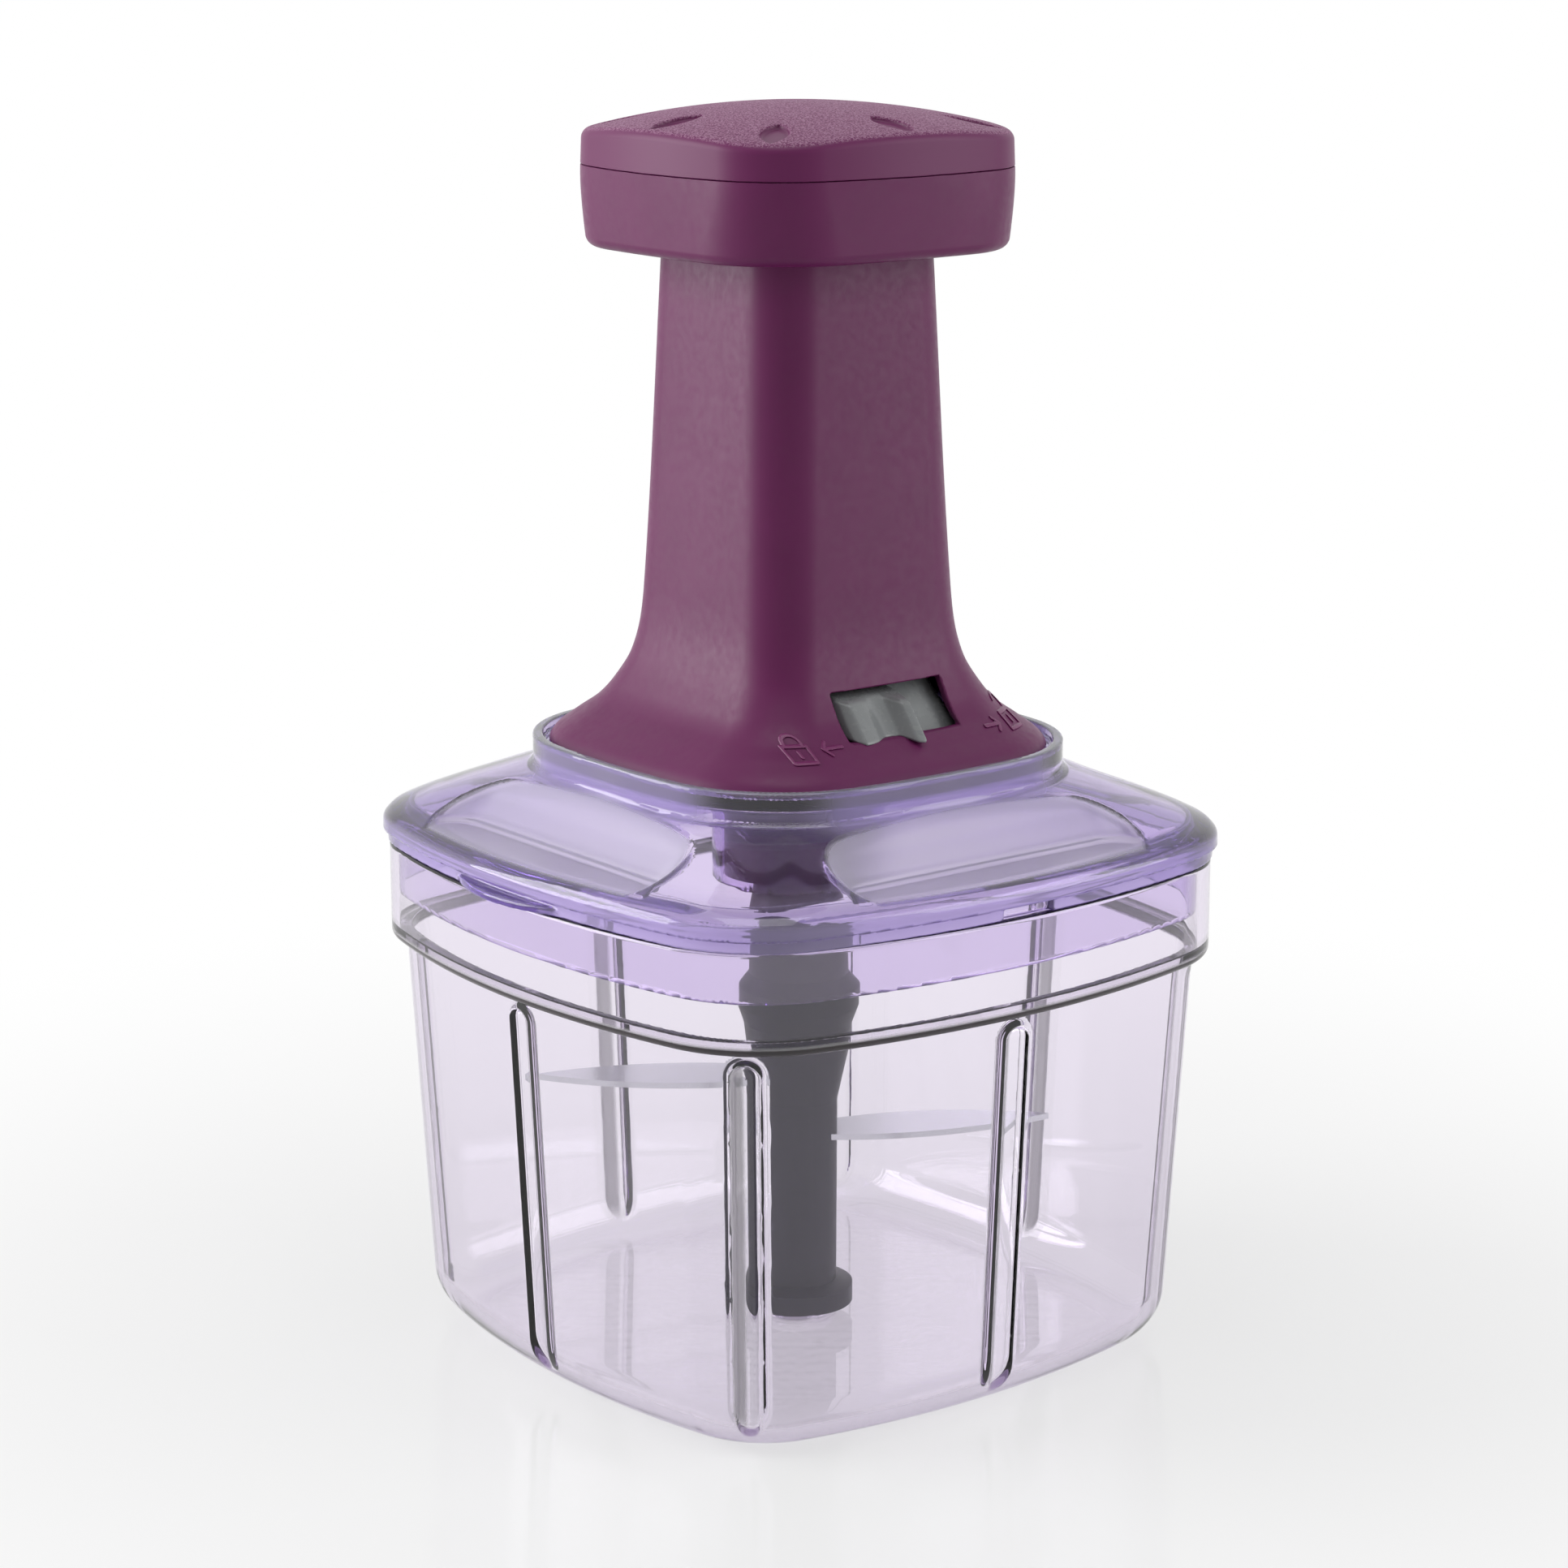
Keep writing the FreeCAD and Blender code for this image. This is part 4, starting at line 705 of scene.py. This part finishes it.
def padlock(x, z, left, bottom, lean):
    """Padlock outline; its shackle turns by lean, in degrees, about its right foot."""
    width, height, rise = PADLOCK
    right, top, middle = left + width, bottom + height, left + width / 2
    body = stroke(x, z, (left, bottom), (right, bottom), (right, top), (left, top), (left, bottom))
    keyhole = stroke(x, z, *((middle, bottom + height * share) for share in KEYHOLE_SHARES))
    radius = width * SHACKLE_SHARE
    arch = [(0.0, 0.0)]
    for step in range(SHACKLE_STEPS + 1):
        angle = math.pi * step / SHACKLE_STEPS
        arch.append((radius * (math.cos(angle) - 1), rise - radius + radius * math.sin(angle)))
    arch.append((-2 * radius, 0.0))
    turn = math.radians(lean)
    foot = (right - width / 2 + radius, top)
    shackle = [(foot[0] + px * math.cos(turn) - pz * math.sin(turn),
                foot[1] + px * math.sin(turn) + pz * math.cos(turn)) for px, pz in arch]
    return np.minimum(np.minimum(body, keyhole), stroke(x, z, *shackle))


def arrow(x, z, tail, tip, level):
    back, spread = ARROW_BARB
    barb = tip + math.copysign(back, tail - tip)
    shaft = stroke(x, z, (tail, level), (tip, level))
    return np.minimum(shaft, stroke(x, z, (barb, level + spread), (tip, level), (barb, level - spread)))


def marks(lock, pointer):
    """Field of a padlock and an arrow, raised from the tower's surface."""
    def field(x, y, z):
        flat = np.minimum(padlock(x, z, *lock), arrow(x, z, *pointer))
        return both(flat - MARK_HALF_WIDTH, np.abs(tower_body(x, y, z, 0.0)) - MARK_RISE, MARK_ROUND)
    return field


def make_marks(material):
    deep = spans((-44.4, -18.0, 0.16))
    up = spans((125.0, 134.0, 0.14))
    for name, lock, pointer, (left, right) in MARKS:
        piece = field_object(name, marks(lock, pointer), (spans((left, right, 0.14)), deep, up))
        piece.data.materials.append(material)
        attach(piece, "lid_unit")


# Lock slider

def slope_places(y, z):
    """Distance down the slider's slope and distance out from it."""
    y, z = y - SLIDER_TOP_Y, z - SLIDER_TOP_Z
    down, out = math.cos(SLIDER_SLOPE), math.sin(SLIDER_SLOPE)
    return -y * down - z * out, -y * out + z * down


def grip_places(y, z):
    """Distance down the slope and level distance out, for the thumb grip."""
    y, z = y - SLIDER_TOP_Y, z - SLIDER_TOP_Z
    down, out = math.cos(SLIDER_SLOPE), math.sin(SLIDER_SLOPE)
    scale = KNOB_DROOP * down - out
    return (z - KNOB_DROOP * y) / scale, (out * y - down * z) / scale


def slider(x, y, z):
    top = (SLIDER_TOP_Z - WINDOW_TOP_Z) / math.sin(SLIDER_SLOPE)
    drop = (WINDOW_TOP_Z - WINDOW_BOTTOM_Z) / math.sin(SLIDER_SLOPE)
    down, out = slope_places(y, z)
    plate_down = between(down, top - PLATE_OVER_WINDOW, top + drop + PLATE_UNDER_WINDOW)
    plate_across = between(x, -WINDOW_HALF - SLIDER_TRAVEL, WINDOW_HALF + PLATE_PAST_WINDOW)
    plate = both(plate_down, between(out, -SLIDER_THICKNESS, 0.0), FINE_ROUND)
    plate = both(plate, plate_across, FINE_ROUND)
    depth = TOWER_WALL + SLIDER_ROOM
    room = np.maximum(tower_body(x, y, z, depth), tower_body(x + SLIDER_TRAVEL, y, z, depth))
    plate = both(plate, room, EDGE_ROUND)
    along = x - KNOB_LEFT
    stations, heights = zip(*KNOB_HEIGHTS)
    height = curve(along, stations, heights)
    lean = (curve(along + SLOPE_STEP, stations, heights) - height) / SLOPE_STEP
    down, out = grip_places(y, z)
    margin = KNOB_MARGIN / math.sin(SLIDER_SLOPE)
    face = (out - height) * KNOB_STEEPNESS / np.sqrt(1 + lean ** 2)
    grip = both(face, between(along, 0.0, stations[-1]), KNOB_ROUND)
    grip = both(grip, between(down, top + margin, top + drop - margin) * KNOB_STEEPNESS, KNOB_ROUND)
    return either(plate, both(grip, -out - KNOB_ROOT, KNOB_ROOT_ROUND), SOFT_ROUND)


def make_slider(material):
    axes = (spans((-24.0, 16.0, 0.25)), spans((-41.0, -18.0, 0.25)), spans((124.0, 140.5, 0.25)))
    install(field_object("slider_grip", slider, axes), "lock_slider", "lock", material)


# Palm cap

def cap_side(x, y, z, depth):
    share = (z - CAP_BOTTOM_Z) / (CAP_SEAM_Z - CAP_BOTTOM_Z)
    low, high = inset(CAP_BOTTOM, depth), inset(CAP_SEAM, depth)
    return square(x, y, *(a + (b - a) * np.clip(share, -0.5, 1.0) for a, b in zip(low, high)))


def cap_cup(x, y, z):
    outer = both(cap_side(x, y, z, 0.0), CAP_BOTTOM_Z - z, CAP_FOOT_ROUND)
    outer = both(outer, z - CAP_SEAM_Z + CAP_SEAM_GAP, CAP_SEAM_ROUND)
    inner = both(cap_side(x, y, z, CAP_WALL), CAP_FLOOR_Z + CAP_FLOOR - z, WIDE_ROUND)
    recess = both(cap_side(x, y, z, CAP_WALL), z - CAP_FLOOR_Z, WIDE_ROUND)
    cup = both(both(outer, -inner, EDGE_ROUND), -recess, EDGE_ROUND)
    return both(cup, -square(x, y, STEM_HALF, TOWER_SIDE_R, STEM_CORNER), FINE_ROUND)


def cap_ball(x, y, z):
    """Distance out of the sphere that the cap's top is part of."""
    return np.sqrt(x * x + y * y + (z - CAP_TOP_Z + CAP_DOME_R) ** 2) - CAP_DOME_R


def cap_dome(x, y, z, depth):
    high = (CAP_SHOULDER_HALF - CAP_SEAM[0]) / (CAP_TOP_Z - CAP_SEAM_Z)
    half = CAP_SEAM[0] + high * (z - CAP_SEAM_Z) - depth
    side = square(x, y, half, CAP_SEAM[1] - depth, CAP_SEAM[2] - depth)
    return both(side, cap_ball(x, y, z) + depth, CAP_EDGE_ROUND)


def leaf_field(x, y):
    """Eight pointed leaves in plan, tips towards and away from the middle."""
    found = []
    for (p, q), (start, end) in (((x, y), SIDE_LEAF), (turned(x, y), CORNER_LEAF)):
        out = np.maximum(np.abs(p), np.abs(q)) - (start + end) / 2
        along = np.minimum(np.abs(p), np.abs(q))
        length = (end - start) / 2
        radius = (length ** 2 + LEAF_HALF_WIDTH ** 2) / (2 * LEAF_HALF_WIDTH)
        found.append(np.hypot(out, along + radius - LEAF_HALF_WIDTH) - radius)
    return np.minimum(*found)


def cap_top(x, y, z):
    outer = both(cap_dome(x, y, z, 0.0), CAP_SEAM_Z + CAP_SEAM_GAP - z, CAP_SEAM_ROUND)
    leaves = both(leaf_field(x, y), -cap_ball(x, y, z) - LEAF_DEPTH, LEAF_ROUND)
    inner = both(cap_dome(x, y, z, CAP_WALL), CAP_SEAM_Z - CAP_WALL - z, EDGE_ROUND)
    return both(both(outer, -leaves, EDGE_ROUND), -inner, EDGE_ROUND)


def make_cap(satin, grained):
    across = mirrored((0, 16, 0.8), (16, 38.4, 0.45))
    up = spans((217.1, 224, 0.5), (224, 232.5, 1.2), (232.5, 235.1, 0.25))
    piece = field_object("cap_lower", cap_cup, (across, across, up))
    install(piece, "cap_cup", "plunger", satin)
    across = mirrored((0, 20, 0.8), (20, 38.4, 0.35))
    up = spans((232.7, 235, 0.25), (235, 239, 0.6), (239, 246.6, 0.29))
    piece = field_object("cap_upper", cap_top, (across, across, up))
    install(piece, "cap_top", "plunger", grained)
    # The grain mask also carries the painted sheen of the lighter specks
    paint(piece, "grain", ramp(cap_ball(*places_of(piece)), *CAP_GRAIN))


# Camera, light and floor

def add_camera():
    data = bpy.data.cameras.new("camera")
    data.sensor_width = CAMERA_SENSOR
    data.lens = CAMERA_LENS
    data.shift_x, data.shift_y = CAMERA_SHIFT
    camera = bpy.data.objects.new("camera", data)
    bpy.context.scene.collection.objects.link(camera)
    back = Vector((
        math.sin(CAMERA_AZIMUTH) * math.cos(CAMERA_ELEVATION),
        -math.cos(CAMERA_AZIMUTH) * math.cos(CAMERA_ELEVATION),
        math.sin(CAMERA_ELEVATION),
    ))
    camera.location = CAMERA_TARGET + back * CAMERA_DISTANCE
    camera.rotation_euler = (-back).to_track_quat("-Z", "Y").to_euler()
    bpy.context.scene.camera = camera


def area_lamp(name, azimuth, distance, height, size, power):
    """Soft box that faces the object, at an azimuth in degrees: 0 is -Y, 90 is +X."""
    data = bpy.data.lights.new(name, "AREA")
    data.shape = "RECTANGLE"
    data.size, data.size_y = size
    data.energy = power
    lamp = bpy.data.objects.new(name, data)
    bpy.context.scene.collection.objects.link(lamp)
    angle = math.radians(azimuth)
    lamp.location = (math.sin(angle) * distance, -math.cos(angle) * distance, height)
    lamp.rotation_euler = (Vector((0, 0, LAMP_AIM_Z)) - lamp.location).to_track_quat("-Z", "Y").to_euler()


def seen_by_rays(tree):
    """1 for camera, glossy and transmission rays, else 0."""
    path = tree.nodes.new("ShaderNodeLightPath")
    total = path.outputs["Is Camera Ray"]
    for name in ("Is Glossy Ray", "Is Transmission Ray"):
        total = combined(tree, "MAXIMUM", total, path.outputs[name])
    return total


def mixed_surface(tree, share, first, second, output):
    """Sends a mix of two shaders, from the first to the second by a share, to an output node."""
    mix = tree.nodes.new("ShaderNodeMixShader")
    tree.links.new(share, mix.inputs["Fac"])
    tree.links.new(first.outputs[0], mix.inputs[1])
    tree.links.new(second.outputs[0], mix.inputs[2])
    tree.links.new(mix.outputs[0], tree.nodes[output].inputs["Surface"])


def set_world():
    world = bpy.data.worlds.new("world")
    bpy.context.scene.world = world
    world.use_nodes = True
    tree = world.node_tree
    dim = tree.nodes["Background"]
    dim.inputs["Color"].default_value = (*WHITE, 1)
    dim.inputs["Strength"].default_value = WORLD_STRENGTH
    white = tree.nodes.new("ShaderNodeBackground")
    white.inputs["Color"].default_value = (*WHITE, 1)
    white.inputs["Strength"].default_value = 1.0
    mixed_surface(tree, seen_by_rays(tree), dim, white, "World Output")


def add_floor():
    """Pale glossy floor: plain white to the eye away from the object, shaded and mirroring near it."""
    half = FLOOR_HALF_MM
    corners = [(-half, -half, 0), (half, -half, 0), (half, half, 0), (-half, half, 0)]
    floor = mesh_object("floor", corners, [(0, 1, 2, 3)])
    material, tree, shader = new_material("floor_white")
    shader.inputs["Base Color"].default_value = (*FLOOR_GREY, 1)
    shader.inputs["Roughness"].default_value = FLOOR_ROUGHNESS
    glow = tree.nodes.new("ShaderNodeEmission")
    glow.inputs["Color"].default_value = (*WHITE, 1)
    glow.inputs["Strength"].default_value = 1.0
    place = tree.nodes.new("ShaderNodeTexCoord")
    length = tree.nodes.new("ShaderNodeVectorMath")
    length.operation = "LENGTH"
    tree.links.new(place.outputs["Object"], length.inputs[0])
    far = tree.nodes.new("ShaderNodeMapRange")
    far.interpolation_type = "SMOOTHSTEP"
    far.inputs["From Min"].default_value = FLOOR_GLOW_REACH[0]
    far.inputs["From Max"].default_value = FLOOR_GLOW_REACH[1]
    far.inputs["To Min"].default_value = FLOOR_GLOW_NEAR
    far.inputs["To Max"].default_value = 1.0
    tree.links.new(length.outputs["Value"], far.inputs["Value"])
    share = combined(tree, "MULTIPLY", seen_by_rays(tree), far.outputs["Result"])
    mixed_surface(tree, share, shader, glow, "Material Output")
    floor.data.materials.append(material)


# Materials

def new_material(name):
    material = bpy.data.materials.new(name)
    material.use_nodes = True
    tree = material.node_tree
    return material, tree, tree.nodes["Principled BSDF"]


def noise_at(tree, size, detail):
    """Noise of a grain size in millimetres, fixed to the piece."""
    place = tree.nodes.new("ShaderNodeTexCoord")
    noise = tree.nodes.new("ShaderNodeTexNoise")
    noise.inputs["Scale"].default_value = 1 / (size * MM)
    noise.inputs["Detail"].default_value = detail
    tree.links.new(place.outputs["Object"], noise.inputs["Vector"])
    return noise.outputs["Fac"]


def painted(tree, name):
    node = tree.nodes.new("ShaderNodeAttribute")
    node.attribute_name = name
    return node.outputs["Fac"]


def mapped(tree, source, low, high, start=0.0, end=1.0):
    """Source from start to end becomes a value from low to high."""
    node = tree.nodes.new("ShaderNodeMapRange")
    node.inputs["From Min"].default_value = start
    node.inputs["From Max"].default_value = end
    node.inputs["To Min"].default_value = low
    node.inputs["To Max"].default_value = high
    tree.links.new(source, node.inputs["Value"])
    return node.outputs["Result"]


def blended(tree, share, first, second):
    """Colour from first to second by a share; each is a colour or another node's output."""
    node = tree.nodes.new("ShaderNodeMix")
    node.data_type = "RGBA"
    for name, colour in (("A", first), ("B", second)):
        if isinstance(colour, tuple):
            node.inputs[name].default_value = (*colour, 1)
        else:
            tree.links.new(colour, node.inputs[name])
    tree.links.new(share, node.inputs["Factor"])
    return node.outputs["Result"]


def combined(tree, operation, first, second):
    """Two nodes' outputs put together by a Math node's operation."""
    node = tree.nodes.new("ShaderNodeMath")
    node.operation = operation
    tree.links.new(first, node.inputs[0])
    tree.links.new(second, node.inputs[1])
    return node.outputs[0]


def bumped(tree, shader, height, depth):
    """Bumps of a depth in millimetres."""
    bump = tree.nodes.new("ShaderNodeBump")
    bump.inputs["Strength"].default_value = 1.0
    bump.inputs["Distance"].default_value = depth * MM
    tree.links.new(height, bump.inputs["Height"])
    tree.links.new(bump.outputs["Normal"], shader.inputs["Normal"])


def plastic(name, colour, roughness, gloss, grain_size, grain_depth):
    """Moulded plastic: colour a little uneven, roughness mottled, fine grain."""
    material, tree, shader = new_material(name)
    uneven = mapped(tree, noise_at(tree, PATCH_SIZE, 3), 0.0, 1.0, *NOISE_MIDDLE)
    darker = tuple(c * PATCH_DARKEST for c in colour)
    tree.links.new(blended(tree, uneven, darker, colour), shader.inputs["Base Color"])
    low, high = roughness - MOTTLE_REACH, roughness + MOTTLE_REACH
    mottle = mapped(tree, noise_at(tree, MOTTLE_SIZE, 3), low, high, *NOISE_MIDDLE)
    tree.links.new(mottle, shader.inputs["Roughness"])
    shader.inputs["Specular IOR Level"].default_value = gloss
    bumped(tree, shader, noise_at(tree, grain_size, 2), grain_depth)
    return material


def grained_plastic(name, colour, roughness, gloss):
    """Satin plastic whose painted part is coarse, with lighter specks: partly grain, partly a painted sheen
    that lifts their colour.
    """
    material, tree, shader = new_material(name)
    share = painted(tree, "grain")
    specks = mapped(tree, noise_at(tree, SPECK_SIZE, 1), 0.0, 1.0, *SPECK_NOISE)
    speckled = combined(tree, "MULTIPLY", specks, share)
    # The lighter specks are partly grain, partly a painted sheen
    sheen_lighter = tuple(c * SPECK_SHEEN_GAIN + SPECK_SHEEN_LIFT for c in colour)
    tree.links.new(blended(tree, speckled, colour, sheen_lighter), shader.inputs["Base Color"])
    tree.links.new(mapped(tree, share, roughness, roughness + SPECK_ROUGHER), shader.inputs["Roughness"])
    shader.inputs["Specular IOR Level"].default_value = gloss
    bumped(tree, shader, speckled, SPECK_DEPTH)
    return material


def metal(name, colour, roughness, stretch):
    """Turned or ground metal: noise that stretch squeezes along one axis, for fine scratches across it."""
    material, tree, shader = new_material(name)
    shader.inputs["Base Color"].default_value = (*colour, 1)
    shader.inputs["Metallic"].default_value = 1.0
    place = tree.nodes.new("ShaderNodeTexCoord")
    lay = tree.nodes.new("ShaderNodeMapping")
    lay.inputs["Scale"].default_value = stretch
    noise = tree.nodes.new("ShaderNodeTexNoise")
    noise.inputs["Scale"].default_value = 1 / (SCRATCH_SIZE * MM)
    noise.inputs["Detail"].default_value = 3
    tree.links.new(place.outputs["Object"], lay.inputs["Vector"])
    tree.links.new(lay.outputs["Vector"], noise.inputs["Vector"])
    low, high = (roughness * share for share in SCRATCH_SPREAD)
    scratched = mapped(tree, noise.outputs["Fac"], low, high, *NOISE_MIDDLE)
    tree.links.new(scratched, shader.inputs["Roughness"])
    bumped(tree, shader, noise.outputs["Fac"], SCRATCH_DEPTH)
    return material


def clear_plastic(name, colour, density, ior):
    """Solid clear plastic, tinted through its thickness."""
    material, tree, shader = new_material(name)
    shader.inputs["Base Color"].default_value = (*WHITE, 1)
    shader.inputs["Roughness"].default_value = 0.0
    shader.inputs["IOR"].default_value = ior
    shader.inputs["Transmission Weight"].default_value = 1.0
    tint = tree.nodes.new("ShaderNodeVolumeAbsorption")
    tint.inputs["Color"].default_value = (*colour, 1)
    tint.inputs["Density"].default_value = density
    tree.links.new(tint.outputs["Volume"], tree.nodes["Material Output"].inputs["Volume"])
    return material, tree, shader


def bowl_plastic():
    material, tree, shader = clear_plastic("bowl_clear", BOWL_TINT, BOWL_DENSITY, BOWL_IOR)
    # The painted shade darkens the bowl's colour and makes it less clear
    painted_shade_line = painted(tree, "painted_shade_line")
    tree.links.new(blended(tree, painted_shade_line, WHITE, BOWL_PAINTED_SHADE), shader.inputs["Base Color"])
    tree.links.new(mapped(tree, painted_shade_line, 1.0, BOWL_PAINTED_SHADE_CLEARNESS), shader.inputs["Transmission Weight"])
    smears = noise_at(tree, BOWL_SMEAR_SIZE, 3)
    smears = mapped(tree, smears, 0.0, BOWL_SMEAR_ROUGHNESS, *BOWL_SMEAR_NOISE)
    tree.links.new(smears, shader.inputs["Roughness"])
    return material


def lid_plastic():
    material, tree, shader = clear_plastic("lid_violet", LID_TINT, LID_DENSITY, LID_IOR)
    frost = painted(tree, "frost")
    # The edge attribute is painted light, lilac that stands in for light through the clear plastic
    edge = painted(tree, "edge")
    body = blended(tree, edge, LID_BODY, LID_EDGE_LIGHT)
    # Painted shade under the thumb tab and the flange's edge
    body = blended(tree, painted(tree, "painted_shade_under_edge"), body, LID_PAINTED_SHADE)
    # Painted reflection on the neck's rim
    body = blended(tree, painted(tree, "rim_reflection"), body, LID_RIM_REFLECTION)
    tree.links.new(blended(tree, frost, body, LID_FROST), shader.inputs["Base Color"])
    tree.links.new(mapped(tree, frost, LID_ROUGHNESS, FROST_ROUGHNESS), shader.inputs["Roughness"])
    frost_clearness = mapped(tree, frost, 1.0, FROST_CLEARNESS)
    edge_light_clearness = mapped(tree, edge, LID_BODY_CLEARNESS, LID_EDGE_LIGHT_CLEARNESS)
    clearness = combined(tree, "MINIMUM", frost_clearness, edge_light_clearness)
    # The painted shade and the painted reflection make the plastic less clear
    shade_and_reflection = combined(tree, "MAXIMUM", painted(tree, "painted_shade_under_edge"), painted(tree, "rim_reflection"))
    clearness = combined(tree, "MINIMUM", clearness, mapped(tree, shade_and_reflection, 1.0, LID_SHADE_AND_REFLECTION_CLEARNESS))
    tree.links.new(clearness, shader.inputs["Transmission Weight"])
    return material


def finish_nodes(material, *names):
    """Gives a material to CAD nodes that keep their shape."""
    for name in names:
        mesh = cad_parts[name].data
        mesh.materials.clear()
        mesh.materials.append(material)


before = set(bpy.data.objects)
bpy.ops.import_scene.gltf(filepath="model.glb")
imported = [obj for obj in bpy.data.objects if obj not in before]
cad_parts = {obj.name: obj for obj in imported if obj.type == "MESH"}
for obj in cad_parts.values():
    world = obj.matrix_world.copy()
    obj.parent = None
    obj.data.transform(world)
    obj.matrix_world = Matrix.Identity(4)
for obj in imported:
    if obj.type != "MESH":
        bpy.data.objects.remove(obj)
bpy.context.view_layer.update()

add_camera()
set_world()
add_floor()
for lamp in LAMPS:
    area_lamp(*lamp)

# Each plastic has a colour, a roughness, a gloss, and a grain's size and depth in millimetres
satin_purple = plastic("satin_purple", PURPLE, 0.42, 0.28, 0.5, 0.003)
# The marks' lighter purple is a painted highlight
mark_highlight_purple = plastic("mark_highlight_purple", MARK_HIGHLIGHT_PURPLE, 0.34, 0.4, 0.5, 0.002)
grained_purple = grained_plastic("grained_purple", PURPLE, 0.42, 0.28)
dark_purple = plastic("dark_purple", DARK_PURPLE, 0.38, 0.2, 0.5, 0.002)
slider_plastic = plastic("slider_plastic", SLIDER_LIT_GREY, 0.26, 0.5, 0.5, 0.002)
satin_grey = plastic("satin_grey", STEM_GREY, 0.4, 0.4, 0.5, 0.002)
spindle_plastic = plastic("spindle_plastic", SPINDLE_GREY, 0.40, 0.22, 0.6, 0.002)
nylon = plastic("nylon", NYLON, 0.35, 0.4, 0.5, 0.002)
turned_steel = metal("turned_steel", STEEL, 0.25, (1, 1, 8))
ground_steel = metal("ground_steel", BLADE_STEEL, 0.22, (1, 6, 1))

finish_nodes(dark_purple, "base_plate")
finish_nodes(satin_grey, "slider_keeper", "push_stem", "drive_dog")
finish_nodes(spindle_plastic, "blade_spindle")
finish_nodes(nylon, "drive_screw", "drive_nut", "screw_bush")
finish_nodes(turned_steel, "bowl_pivot_pin", "spindle_bush", "spring_seat", "return_spring", "nut_pins",
             "base_screws", "cap_screws", "keeper_screws")
finish_nodes(ground_steel, "blade_upper", "blade_middle", "blade_lower")

make_bowl(bowl_plastic())
make_lid(lid_plastic())
make_tower(satin_purple)
make_marks(mark_highlight_purple)
make_slider(slider_plastic)
make_cap(satin_purple, grained_purple)

bpy.context.scene.view_settings.view_transform = "Standard"
